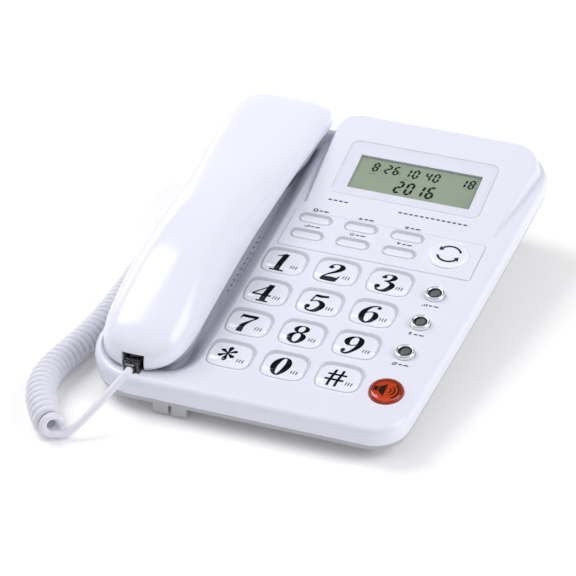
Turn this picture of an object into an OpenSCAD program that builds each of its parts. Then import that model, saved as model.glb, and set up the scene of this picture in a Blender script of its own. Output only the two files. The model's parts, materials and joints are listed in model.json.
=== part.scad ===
// Corded desk telephone: sloping base with dial keys and display, handset on a side cradle,
// coiled handset cord. Millimetres, +Z up, front towards -Y, handset on the -X side.

/* [Base] */
// Width of the base at its back
base_w = 156; // [154:1:160]
// Length of the sloping top face, front lip to back wall
face_len = 200.5; // [198:0.5:203]
// Slope of the top face above the horizontal, degrees
face_tilt = 7.5; // [6:0.5:9]
// Height of the keypad centre above the desk
key_z = 25.5; // [24:0.5:30]
// Depth of the upper case wall, measured square to the face
wall_depth = 9; // [9:0.5:11]
// Wall thickness of the upper case
shell_t = 2.5; // [2:0.1:3]

/* [Keys] */
// Spacing of the dial keys across
pitch_x = 25; // [24:0.25:25.5]
// Spacing of the dial keys up the face
pitch_y = 22.1; // [21:0.1:22.5]
// Width of a dial key cap
cap_w = 20.5; // [18:0.25:21]
// Height of a dial key cap, up the face
cap_d = 16.5; // [14:0.25:17]
// How far a cap stands above the face
cap_h = 2.6; // [2:0.1:3]
// Travel of every key
key_travel = 1.6; // [1:0.1:1.7]

/* [Display] */
// Slope of the display hood above the face, degrees
hood_tilt = 6.8; // [5:0.2:8]
// Width of the display window
window_w = 72; // [66:1:74]
// Height of the display window, up the hood
window_d = 35.5; // [30:0.5:37]
// Width of the visible liquid crystal area
lcd_w = 59.3; // [50:0.1:61]
// Height of the visible liquid crystal area
lcd_d = 21.9; // [18:0.1:23]

/* [Handset] */
// Overall length of the handset
handset_l = 197; // [192:1:198]
// Width of the handset's grip
handset_w = 42; // [40:0.5:43]
// Extra half width at the earpiece
ear_flare = 2.5; // [0:0.5:2.5]
// Height of the outer shell over the seam, in the grip
grip_h = 20; // [16:0.5:22]
// Height of the outer shell over the seam, at the earpiece
ear_h = 12.5; // [11:0.5:14]

/* [Cord] */
// Outer diameter of the coiled stretch
coil_d = 13.5; // [12:0.5:14]
// Diameter of the wire
wire_d = 3.4; // [3:0.1:3.8]

/* [Hidden] */
KEY_NAMES = [["key_1", "key_2", "key_3"], ["key_4", "key_5", "key_6"],
             ["key_7", "key_8", "key_9"], ["key_star", "key_0", "key_hash"]];
PILL_NAMES = [["store_key", "up_key", "delete_key"], ["recall_key", "set_key", "down_key"]];
OPTION_NAMES = ["volume_key", "flash_key", "mute_key"];

// Keypad centre in plan; face coordinates run from here
key_x = 8.5;
key_y = -40.4;
face_front = -61;
face_back = face_front + face_len;
face_left = -base_w / 2 - key_x;
face_right = base_w / 2 - key_x;
front_taper = 8.2;
side_bulge = 1;

// Layers under the face, square to it
cap_under = -2.8;
stem_end = -4;
membrane_top = -5.9;
membrane_bottom = -7;
board_t = 1.6;

// Foot height and lower case
foot_h = 2.5;
floor_t = 2;
rim_h = 3.2;
flange_top = -wall_depth - rim_h + 2;
tub_wall = 2;
tub_left = -74;
tub_right = 60;
tub_front = -88;
tub_back = 98;

// Display hood
crease_s = 75;
hood_front_left = -31.6;
hood_front_right = 59.5;
hood_back_left = -35;
hood_back_right = 66;
hood_back = 139.3;
window_x = 12.9;
window_mid = 28.9;
lcd_x = 13.3;
lcd_mid = 27.1;
window_t = 1.5;

// Function panel and small keys, in face coordinates
panel_x0 = -33.6;
panel_x1 = 58.2;
panel_s0 = 44.6;
panel_s1 = 70.6;
panel_t = 1;
pill_w = 16;
pill_d = 6.4;
pill_x = [-22.3, -0.4, 21.9];
pill_s = [66, 54.4];
redial_at = [44.1, 59];
redial_d = 18.6;
option_x = 46.8;
option_s = [30.8, 10.6, -10];
option_d = 9;
speaker_at = [47.2, -36];
speaker_d = 15.4;
key_gap = 0.35;

// Cradle trough
cradle_x0 = -83.5;
cradle_x1 = -36.5;
trough_x0 = -77.2;
trough_x1 = -47;
trough_n = -9;
well_n = -12.6;
tray_t = 2.2;

// Handset
hs_x = -61.8;
hs_s0 = -55.5;
hs_mid = hs_s0 + handset_l / 2;
seam_peak = 8;
seam_peak_s = 25;
seam_curve_front = 0.00083;
seam_curve_back = 0.00055;
mouth_s = -28;
ear_s = 112;
hs_wall = 2;
jack_n = 3.6;

// Hook plunger and speaker grille, face coordinates
hook_at = [-62, 84];
hook_travel = 5;
grille_x = [-46.6, -44.2];
grille_s0 = 16.5;
grille_step = 4;
grille_holes = 11;

// Sockets
plug_w = 7.6;
plug_h = 6.4;
cord_jack_y = 60;
cord_jack_z = 11;
line_jack_x = 20;
line_jack_z = 17;

// Centreline of the coiled stretch and of the two straight tails, on the desk
COIL_ROUTE = [[-76, -132], [-81, -126], [-87, -117.5], [-91.5, -109], [-94, -99], [-94, -88],
              [-92, -77], [-90, -65], [-88.5, -52], [-88, -35], [-88, -15], [-88.5, 5], [-89, 25],
              [-89, 42]];
coil_z = coil_d / 2 + 0.2;
HANDSET_TAIL = [to_world(hs_x, -59.05, jack_n), to_world(hs_x, -61.5, jack_n), [-54.8, -104.5, 19.6],
                [-58.5, -111, 16.5], [-62.5, -120, 12.5], [-66.5, -129, 9], [-69.5, -134.5, 7.2],
                [-72.8, -135.8, 7], [-75.9, -132.2, 7]];
BASE_TAIL = [[-89, 42.25, 7], [-89.8, 50, 7.6], [-88.6, 56.5, 9.6], [-84.5, 60, 11], [-79.65, 60, 11]];

// ---- Placing ----
module on_face() translate([key_x, key_y, key_z]) rotate([face_tilt, 0, 0]) children();
module on_hood() on_face() translate([0, crease_s, 0]) rotate([hood_tilt, 0, 0]) children();
function to_world(x, s, n) = [key_x + x, key_y + s * cos(face_tilt) - n * sin(face_tilt),
                              key_z + s * sin(face_tilt) + n * cos(face_tilt)];

// ---- Outlines and lofts ----
function arc(c, r, a0, z, steps = 8) = [for (i = [0:steps]) let (a = a0 + 90 * i / steps)
    [c[0] + r * cos(a), c[1] + r * sin(a), z]];
function case_side(inset, z) = let (x0 = face_right - front_taper, y0 = face_front + 15.5, y1 = face_back - 14)
    [for (t = [0.2:0.2:0.8]) [x0 + front_taper * t + 4 * side_bulge * t * (1 - t) - inset, y0 + (y1 - y0) * t, z]];
function case_ring(inset, z) = concat(
    arc([face_right - 14, face_back - 14], 14 - inset, 0, z),
    arc([face_left + 15, face_back - 15], 15 - inset, 90, z),
    arc([face_left + 25, face_front + 25], 25 - inset, 180, z),
    arc([face_right - front_taper - 15.5, face_front + 15.5], 15.5 - inset, 270, z),
    case_side(inset, z));
function box_ring(x0, x1, y0, y1, r, z) = concat(
    arc([x1 - r, y1 - r], r, 0, z), arc([x0 + r, y1 - r], r, 90, z),
    arc([x0 + r, y0 + r], r, 180, z), arc([x1 - r, y0 + r], r, 270, z));
function spow(v, e) = sign(v) * pow(abs(v), e);
function oval_ring(cx, cy, a, b, m, z, n = 32) = [for (i = [0:n - 1]) let (t = 360 * i / n)
    [cx + a * spow(cos(t), 2 / m), cy + b * spow(sin(t), 2 / m), z]];
function flat(ring) = [for (p = ring) [p[0], p[1]]];

module loft(rings) {
    n = len(rings[0]);
    m = len(rings);
    polyhedron(points = [for (r = rings) each r],
        faces = concat([[for (i = [0:n - 1]) i]],
            [for (j = [0:m - 2], i = [0:n - 1])
                [j * n + i, (j + 1) * n + i, (j + 1) * n + (i + 1) % n, j * n + (i + 1) % n]],
            [[for (i = [n - 1:-1:0]) (m - 1) * n + i]]));
}
module prism(ring, h) translate([0, 0, ring[0][2]]) linear_extrude(h) polygon(flat(ring));

// ---- Tubes swept along a list of points ----
function unit(v) = v / norm(v);
function tangent(p, i) = unit(p[min(i + 1, len(p) - 1)] - p[max(i - 1, 0)]);
function side_of(t) = unit(cross(t, [0, 0, 1]));
module tube(p, d, sides) loft([for (i = [0:len(p) - 1])
    let (t = tangent(p, i), u = side_of(t), v = cross(u, t))
    [for (k = [0:sides - 1]) let (a = -360 * k / sides) p[i] + d / 2 * (cos(a) * u + sin(a) * v)]]);

// ---- Upper case ----
module case_outer() loft([case_ring(0, -wall_depth), case_ring(0, -4), case_ring(0.5, -2),
    case_ring(1.6, -0.6), case_ring(3.2, 0)]);
function hood_top(s) = max(0, s - crease_s) * tan(hood_tilt);
function hood_plan(inset, lean) = concat(
    arc([hood_back_right - 14 - lean, hood_back - 14], 14 - inset, 0, 0),
    arc([hood_back_left + 10 + lean / 2, hood_back - 10], 10 - inset, 90, 0),
    arc([hood_front_left + 2 + inset / 2, crease_s + 2.2], 2, 180, 0),
    arc([hood_front_right - 2 - inset / 2, crease_s + 2.2], 2, 270, 0));
function hood_ring(inset, drop, floor, lean = 0) = [for (p = hood_plan(inset, lean))
    [p[0], p[1], max(floor, hood_top(p[1]) - drop)]];
module hood() loft([[for (p = hood_ring(0, 0, 0)) [p[0], p[1], -1.5]], hood_ring(0, 5, -0.3),
    hood_ring(0.3, 1.6, -0.2, 1), hood_ring(1, 0.5, -0.1, 1), hood_ring(2.4, 0, 0, 1)]);
module hood_hollow() loft([[for (p = hood_ring(4, 0, 0)) [p[0], p[1], -8]], hood_ring(4, shell_t, -2.6)]);
module trough(grow, top) loft([
    box_ring(trough_x0 - grow, trough_x1 + grow, -40 - grow, 128 + grow, 7 + grow, trough_n - grow),
    box_ring(cradle_x0 + 5 - grow, cradle_x1 - 7 + grow, -48 - grow, 133 + grow, 12 + grow, -5 - grow / 2),
    box_ring(cradle_x0 - grow, cradle_x1 + grow, -54 - grow, 138 + grow, 17 + grow, top)]);
module ear_well(grow) loft([
    box_ring(trough_x0 + 1 - grow, trough_x1 - 1 + grow, 93 - grow, 128.5 + grow, 8 + grow, well_n - grow),
    box_ring(trough_x0 - grow, trough_x1 + 0.5 + grow, 90 - grow, 131 + grow, 8 + grow, trough_n + 2.4)]);
module key_hole(at, w, d, m) prism(oval_ring(at[0], at[1], w / 2 + key_gap, d / 2 + key_gap, m, -5), 9);
module all_key_holes() {
    for (r = [0:3], c = [0:2]) key_hole(dial_at(r, c), cap_w, cap_d, 3.4);
    for (r = [0:1], c = [0:2]) key_hole([pill_x[c], pill_s[r]], pill_w, pill_d, 4);
    round_holes();
}
module round_holes() {
    translate([redial_at[0], redial_at[1], -5]) cylinder(d = redial_d + 2 * key_gap, h = 9, $fn = 48);
    for (s = option_s) translate([option_x, s, -5]) cylinder(d = option_d + 2 * key_gap, h = 9, $fn = 48);
    translate([speaker_at[0], speaker_at[1], -5]) cylinder(d = speaker_d + 2 * key_gap, h = 9, $fn = 48);
}
function dial_at(r, c) = [(c - 1) * pitch_x, (1.5 - r) * pitch_y];
front_screws = [[-18, -54], [42, -54]];
back_screws = [[-18, 86], [50, 86]];
post_top = 20;

module cradle_cut() {
    trough(0, 0.1);
    ear_well(0);
    translate([cradle_x0, 120, -6]) cube([cradle_x1 - cradle_x0, 30, 12]);
}
module upper_case() color("whitesmoke") difference() {
    union() {
        on_face() {
            difference() {
                union() {
                    case_outer();
                    hood();
                }
                prism(case_ring(shell_t, -wall_depth - 1), wall_depth + 1 - shell_t);
                hood_hollow();
            }
            for (p = front_screws) translate([p[0], p[1], flange_top]) cylinder(d = 7, h = -1 - flange_top, $fn = 32);
        }
        for (p = back_screws) translate([p[0], p[1], post_top]) cylinder(d = 8, h = 26.8, $fn = 32);
    }
    on_face() {
        cradle_cut();
        all_key_holes();
        translate([panel_x0, panel_s0, -panel_t]) cube([panel_x1 - panel_x0, panel_s1 - panel_s0, 5]);
        for (p = front_screws) translate([p[0], p[1], -12]) cylinder(d = 3, h = 9, $fn = 24);
    }
    on_hood() {
        prism(box_ring(window_x - window_w / 2 - 0.15, window_x + window_w / 2 + 0.15,
            window_mid - window_d / 2 - 0.15, window_mid + window_d / 2 + 0.15, 4, -window_t), 4);
        translate([lcd_x - lcd_w / 2 - 1.5, lcd_mid - lcd_d / 2 - 1.5, -6]) cube([lcd_w + 3, lcd_d + 3, 8]);
    }
    for (p = back_screws) translate([p[0], p[1], post_top - 1]) cylinder(d = 3, h = 9, $fn = 24);
}
// The trough under the handset, set against the case from below
module cradle_tray() color("whitesmoke") difference() {
    on_face() intersection() {
        union() {
            trough(tray_t, -1);
            ear_well(tray_t);
            translate([cradle_x0 - 2, 118, -8.2]) cube([cradle_x1 - cradle_x0 + 4.2, 30, 7.2]);
        }
        prism(case_ring(shell_t + 0.05, -20), 20 - shell_t - 0.05);
    }
    on_face() {
        cradle_cut();
        for (x = grille_x, i = [0:grille_holes - 1])
            translate([x, grille_s0 + (i + (x == grille_x[0] ? 0 : 0.5)) * grille_step, -14])
                cylinder(d = 1.6, h = 14, $fn = 16);
    }
    hook_slot();
}
hook_xy = to_world(hook_at[0], hook_at[1], trough_n);
module hook_slot() translate([hook_xy[0] - 5.3, hook_xy[1] - 4.3, hook_xy[2] - 8]) cube([10.6, 8.6, 14]);

// ---- Lower case ----
function tub_ring(inset, z) = box_ring(tub_left + inset, tub_right - inset, tub_front + inset,
    tub_back - inset, 10 - inset, z);
foot_at = [[-60, -76], [49, -76], [-60, 84], [36, 84]];
module below_seam() on_face() translate([-150, -150, -wall_depth - 100]) cube([300, 400, 100]);
module lower_case() color("gainsboro") difference() {
    union() {
        intersection() {
            prism(tub_ring(0, foot_h), 60);
            below_seam();
        }
        on_face() prism(case_ring(1, -wall_depth - rim_h), rim_h);
        for (x = [-43.5, -34.8]) translate([x, -99, 1.4]) cube([7.4, 3, 5.2]);
    }
    difference() {
        prism(tub_ring(tub_wall, foot_h + floor_t), 60);
        for (p = back_screws) translate([p[0], p[1], 0]) cylinder(d = 8, h = post_top, $fn = 32);
    }
    on_face() prism(case_ring(3.2, flange_top), 30);
    on_face() for (p = front_screws) translate([p[0], p[1], -20]) cylinder(d = 3.3, h = 20, $fn = 24);
    for (p = back_screws) translate([p[0], p[1], 0]) {
        cylinder(d = 3.3, h = 30, $fn = 24);
        cylinder(d = 6.6, h = 14, $fn = 32);
    }
    for (p = foot_at) translate([p[0], p[1], 0]) cylinder(d = 12.2, h = foot_h + 0.8, $fn = 32);
    translate([tub_left - 1, cord_jack_y - plug_w / 2 - 1.15, cord_jack_z - plug_h / 2 - 1.15]) cube([4, plug_w + 2.3, plug_h + 2.3]);
    translate([line_jack_x - 6.3, tub_back - 4, line_jack_z - 4.9]) cube([12.6, 8, 9.8]);
    for (i = [-3:3]) translate([-60 + 6 * i, -40, 0]) cube([2.4, 30, 6]);
}

// ---- Pieces on and under the face ----
module function_panel() color("white") on_face() difference() {
    prism(box_ring(panel_x0 + 0.15, panel_x1 - 0.15, panel_s0 + 0.15, panel_s1 - 0.15, 1, -panel_t),
        panel_t + 0.3);
    all_key_holes();
}
module display_window() color([0.9, 0.93, 0.95, 0.4]) on_hood() prism(box_ring(window_x - window_w / 2,
    window_x + window_w / 2, window_mid - window_d / 2, window_mid + window_d / 2, 4, -window_t),
    window_t + 0.2);
module lcd_panel() color("darkseagreen") on_hood() translate([lcd_x - lcd_w / 2 - 1.2,
    lcd_mid - lcd_d / 2 - 1.2, -4.4]) cube([lcd_w + 2.4, lcd_d + 2.4, 2.8]);
module lcd_holder() color("dimgray") on_hood() difference() {
    translate([lcd_x - lcd_w / 2 - 4.5, lcd_mid - lcd_d / 2 - 3.5, -7]) cube([lcd_w + 9, lcd_d + 7, 4.2]);
    translate([lcd_x - lcd_w / 2 - 1.4, lcd_mid - lcd_d / 2 - 1.4, -4.4]) cube([lcd_w + 2.8, lcd_d + 2.8, 4]);
    translate([lcd_x - lcd_w / 2 + 3, lcd_mid - lcd_d / 2 + 3, -9]) cube([lcd_w - 6, lcd_d - 6, 6]);
}
module keypad_membrane() color("lightgray") on_face() {
    translate([-34, -44.5, membrane_bottom]) cube([89, 117, 1]);
    for (r = [0:3], c = [0:2]) translate([dial_at(r, c)[0], dial_at(r, c)[1], membrane_bottom])
        cylinder(d = 8, h = membrane_top - membrane_bottom, $fn = 24);
}
module key_board() color("seagreen") on_face()
    translate([-34, -45, membrane_bottom - board_t]) cube([90, 118, board_t]);
module main_board() color("darkgreen") {
    translate([-20, -5, 9]) cube([75, 72, 1.6]);
    for (x = [-8, 12, 30]) translate([x, 12, 10.6]) cube([12, 12, 2.5]);
    for (x = [36, 46]) translate([x, 50, 10.6]) cylinder(d = 7, h = 8, $fn = 24);
}
module loudspeaker() color("darkslategray") on_face() translate([-56, 37, -14.6]) {
    difference() {
        cylinder(d = 36, h = 3, $fn = 48);
        translate([0, 0, 1]) cylinder(d1 = 14, d2 = 31, h = 2.1, $fn = 48);
    }
    translate([0, 0, -5]) cylinder(d = 20, h = 5, $fn = 48);
}
module ballast_plate() color("slategray") translate([-5, -78, foot_h + floor_t]) cube([62, 44, 3]);
module rubber_feet() color("darkgray") for (p = foot_at) translate([p[0], p[1], 0])
    cylinder(d = 12, h = foot_h + 0.8, $fn = 32);
module screw(len, head_d) {
    cylinder(d = head_d, h = 1.8, $fn = 24);
    cylinder(d = 2.94, h = len, $fn = 24);
}
module case_screws() color("silver") {
    on_face() for (p = front_screws) translate([p[0], p[1], -wall_depth - rim_h - 1.8]) screw(8.5, 5.8);
    for (p = back_screws) translate([p[0], p[1], 12.2]) screw(14, 6);
}

// ---- Hook switch ----
hook_top = hook_xy[2] + 9.1;
module hook_plunger() color("whitesmoke") translate([hook_xy[0], hook_xy[1], 0]) {
    loft([box_ring(-4.9, 4.9, -3.9, 3.9, 1, hook_top - 17.7), box_ring(-4.9, 4.9, -3.9, 3.9, 1, hook_top - 1.2),
        box_ring(-3.9, 3.9, -2.9, 2.9, 1, hook_top)]);
    translate([-6.5, -5.5, hook_top - 18.7]) cube([13, 11, 1.2]);
    translate([0, 0, hook_top - 20.7]) cylinder(d = 3.6, h = 2.2, $fn = 24);
}
spring_base = 9;
spring_top = hook_top - 18.8;
spring_turns = 5;
module hook_spring() color("silver") translate([hook_xy[0], hook_xy[1], 0])
    tube([for (i = [0:spring_turns * 10]) [3.6 * cos(36 * i), 3.6 * sin(36 * i),
        spring_base + 0.5 + (spring_top - spring_base - 1) * i / (spring_turns * 10)]], 0.8, 6);
module hook_switch() color("black") translate([hook_xy[0], hook_xy[1], 0]) {
    translate([-8, -7, foot_h + floor_t]) cube([16, 14, spring_base - foot_h - floor_t]);
    translate([0, 0, spring_base]) cylinder(d = 4.6, h = 2.4, $fn = 24);
}

// ---- Sockets ----
module socket(w, h, depth, wall) difference() {
    translate([-w / 2 - wall, 0, -h / 2 - wall]) cube([w + 2 * wall, depth + wall, h + 2 * wall]);
    translate([-w / 2, -1, -h / 2]) cube([w, depth + 1, h]);
    translate([-w / 4, -1, -h / 2 - wall / 2]) cube([w / 2, depth + 1, h]);
}
module plug(len) {
    translate([-plug_w / 2, 0, -plug_h / 2]) cube([plug_w, len, plug_h]);
    translate([-2, -1.6, -2]) cube([4, 1.7, 4]);
}
module line_jack() color("dimgray") translate([line_jack_x, tub_back - 0.4, line_jack_z])
    rotate([0, 0, 180]) socket(9.8, 7, 11, 1.4);
module cord_jack() color("dimgray") translate([tub_left + 0.4, cord_jack_y, cord_jack_z])
    rotate([0, 0, -90]) socket(plug_w + 0.3, plug_h + 0.3, 10, 1);
module base_plug() color("gainsboro") translate([tub_left - 4, cord_jack_y, cord_jack_z])
    rotate([0, 0, -90]) plug(13);

// ---- Keys ----
module cap(at, w, d, m, h) on_face() {
    loft([oval_ring(at[0], at[1], w / 2, d / 2, m, cap_under - 0.1), oval_ring(at[0], at[1], w / 2, d / 2, m, h * 0.4),
        oval_ring(at[0], at[1], w / 2 - 0.5, d / 2 - 0.5, m, h * 0.7),
        oval_ring(at[0], at[1], w / 2 - 1.3, d / 2 - 1.3, m, h * 0.9),
        oval_ring(at[0], at[1], w / 2 - 2.6, d / 2 - 2.6, m, h)]);
    prism(oval_ring(at[0], at[1], w / 2 + 0.9, d / 2 + 0.9, m, stem_end), cap_under - stem_end);
}
module round_cap(at, d, h) on_face() translate([at[0], at[1], 0]) {
    rotate_extrude($fn = 48) polygon([[0, stem_end], [d / 2 + 0.9, stem_end], [d / 2 + 0.9, cap_under],
        [d / 2, cap_under], [d / 2, h * 0.4], [d / 2 - 0.6, h * 0.8], [d / 2 - 1.4, h], [0, h]]);
}
module dial_key(r, c) color("azure") cap(dial_at(r, c), cap_w, cap_d, 3.4, cap_h);
module pill_key(r, c) color("azure") cap([pill_x[c], pill_s[r]], pill_w, pill_d, 4, 1.2);
module redial_key() color("azure") round_cap(redial_at, redial_d, 2);
module option_key(i) color("gray") round_cap([option_x, option_s[i]], option_d, 2.4);
module speaker_key() color("orangered") round_cap(speaker_at, speaker_d, 2.4);

// ---- Handset ----
function seam(s) = seam_peak - (s < seam_peak_s ? seam_curve_front : seam_curve_back) * pow(s - seam_peak_s, 2);
function along(s) = (s - hs_mid) / (handset_l / 2);
function end_power(s) = s > hs_mid ? 30 : 10;
function towards_ear(s) = let (t = min(max((s - 35) / 75, 0), 1)) t * t * (3 - 2 * t);
function mid_x(s) = hs_x + 0.7 * towards_ear(s);
function half_w(s) = (handset_w / 2 + ear_flare * towards_ear(s)) * pow(1 - pow(abs(along(s)), end_power(s)), 0.4);
function bulge(s) = abs(s - 18) < 85 ? pow(cos(90 * (s - 18) / 85), 2) : 0;
function crown(s) = (ear_h + (grip_h - ear_h) * bulge(s) - 0.000168 * pow(max(s - seam_peak_s, 0), 2))
    * sqrt(1 - pow(abs(along(s)), end_power(s) + 2));
function squareness(s) = 0.77 - 0.19 * towards_ear(s);
stations = [for (i = [-14:14]) hs_mid + handset_l / 2 * sin(6 * i)];
inner_stations = [for (i = [-14:14]) hs_mid + (handset_l / 2 - hs_wall - 0.5) * sin(6 * i)];
function dome(s, w, h, z0, z1) = concat([for (a = [180:-12:0])
    [mid_x(s) + w * spow(cos(a), squareness(s)), s, z1 + h * pow(max(sin(a), 0), squareness(s))]],
    [[mid_x(s) + w, s, z0], [mid_x(s) - w, s, z0]]);
module handset_outer_shell() color("whitesmoke") on_face() difference() {
    union() {
        difference() {
            loft([for (s = stations) dome(s, half_w(s), crown(s), seam(s), seam(s) + 0.01)]);
            loft([for (s = inner_stations) dome(s, half_w(s) - hs_wall, max(crown(s) - hs_wall, 1),
                seam(s) - 1, seam(s) + 0.01)]);
        }
        for (s = handset_screw_s) translate([hs_x, s, seam(s) + 0.2]) cylinder(d = 6, h = crown(s) - 1.2, $fn = 24);
    }
    jack_notch();
    for (s = handset_screw_s) translate([hs_x, s, -10]) cylinder(d = 3, h = 26, $fn = 24);
}
handset_screw_s = [6, 76];
module jack_notch() translate([hs_x - 5.2, -60, jack_n - 4.6]) cube([10.4, 17.5, 9.4]);
function keel_drop(s) = 4.4 - 2.6 * pow(along(s), 6);
function keel_section(s, w, top, drop) = let (x = mid_x(s), base = seam(s) - 0.1) [[x - w, s, top], [x + w, s, top],
    [x + w * 0.95, s, base - drop * 0.5], [x + w * 0.72, s, base - drop],
    [x - w * 0.72, s, base - drop], [x - w * 0.95, s, base - drop * 0.5]];
function keel(s) = keel_section(s, half_w(s) - 0.3, seam(s) - 0.1, keel_drop(s));
function keel_hollow(s) = keel_section(s, half_w(s) - hs_wall - 0.3, seam(s) + 2, keel_drop(s) - hs_wall);
function bowl(s, a, b, z, grow = 0) = oval_ring(hs_x, s, a - grow, b - grow, 2.8, z);
module mouth_bowl(t) loft([bowl(mouth_s, 11.5, 11.5, -8.4 + t, t), bowl(mouth_s, 15, 15, -6.4 + t * 0.8, t),
    bowl(mouth_s, 18, 19.5, -2 + t * 0.5, t), bowl(mouth_s, 19.2, 22.5, 2.4, t),
    bowl(mouth_s, 19.4, 22.8, 4.6, t)]);
module ear_bowl(t) loft([bowl(ear_s, 12, 13.5, -11.8 + t, t), bowl(ear_s, 14, 16, -9.6 + t * 0.8, t),
    bowl(ear_s, 16.6, 19, -5 + t * 0.5, t), bowl(ear_s, 18, 20.5, -3, t),
    bowl(ear_s, 20.8, 22, 5, t)]);
module handset_inner_shell() color("gainsboro") on_face() difference() {
    union() {
        loft([for (s = stations) keel(s)]);
        difference() {
            union() {
                mouth_bowl(0);
                ear_bowl(0);
            }
            above_seam();
        }
    }
    difference() {
        loft([for (s = inner_stations) keel_hollow(s)]);
        for (s = handset_screw_s) translate([hs_x, s, -10]) cylinder(d = 7, h = 30, $fn = 24);
    }
    mouth_bowl(hs_wall);
    ear_bowl(hs_wall);
    jack_notch();
    for (s = handset_screw_s) translate([hs_x, s, -10]) {
        cylinder(d = 3.3, h = 26, $fn = 24);
        cylinder(d = 6.2, h = 10 + seam(s) - 2.2, $fn = 24);
    }
    for (a = [0:60:300]) translate([hs_x + 6 * cos(a), ear_s + 6 * sin(a), -14]) cylinder(d = 2, h = 8, $fn = 16);
    for (y = [-3, 0, 3]) translate([hs_x, mouth_s + y, -12]) cylinder(d = 1.6, h = 8, $fn = 16);
}
module above_seam() loft([for (s = stations) [[hs_x - 30, s, seam(s) - 0.1], [hs_x - 30, s, 40],
    [hs_x + 30, s, 40], [hs_x + 30, s, seam(s) - 0.1]]]);
module receiver_capsule() color("dimgray") on_face() translate([hs_x, ear_s, -9.4]) {
    cylinder(d = 20, h = 3, $fn = 48);
    translate([0, 0, 3]) cylinder(d = 25, h = 5, $fn = 48);
}
module microphone_capsule() color("dimgray") on_face() translate([hs_x, mouth_s, -6.2])
    cylinder(d = 10, h = 6, $fn = 32);
module handset_weight() color("slategray") on_face() translate([hs_x - 9, 18, seam_peak]) cube([18, 46, 5]);
module handset_jack() color("dimgray") on_face() translate([hs_x, -53, jack_n])
    socket(plug_w + 0.3, plug_h + 0.3, 9, 0.9);
module handset_screws() color("silver") on_face() for (s = handset_screw_s)
    translate([hs_x, s, seam(s) - 4]) screw(10, 6);
module handset_plug() color("gainsboro") on_face() translate([hs_x, -57.4, jack_n]) plug(13);

// ---- Handset cord ----
module cord_tail_handset() color("whitesmoke") tube(HANDSET_TAIL, wire_d, 8);
module cord_coil() color("whitesmoke") tube([for (p = COIL_ROUTE) [p[0], p[1], coil_z]], coil_d, 12);
module cord_tail_base() color("whitesmoke") tube(BASE_TAIL, wire_d, 8);

upper_case();
cradle_tray();
lower_case();
function_panel();
display_window();
lcd_panel();
lcd_holder();
main_board();
key_board();
keypad_membrane();
loudspeaker();
hook_switch();
hook_spring();
hook_plunger();
line_jack();
cord_jack();
ballast_plate();
rubber_feet();
case_screws();
for (r = [0:3], c = [0:2]) dial_key(r, c);
for (r = [0:1], c = [0:2]) pill_key(r, c);
redial_key();
for (i = [0:2]) option_key(i);
speaker_key();
handset_outer_shell();
handset_inner_shell();
receiver_capsule();
microphone_capsule();
handset_weight();
handset_jack();
handset_screws();
handset_plug();
cord_tail_handset();
cord_coil();
cord_tail_base();
base_plug();
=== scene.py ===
"""Corded desk telephone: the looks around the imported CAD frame. Shapes are worked out in millimetres."""

import json
import math

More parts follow.
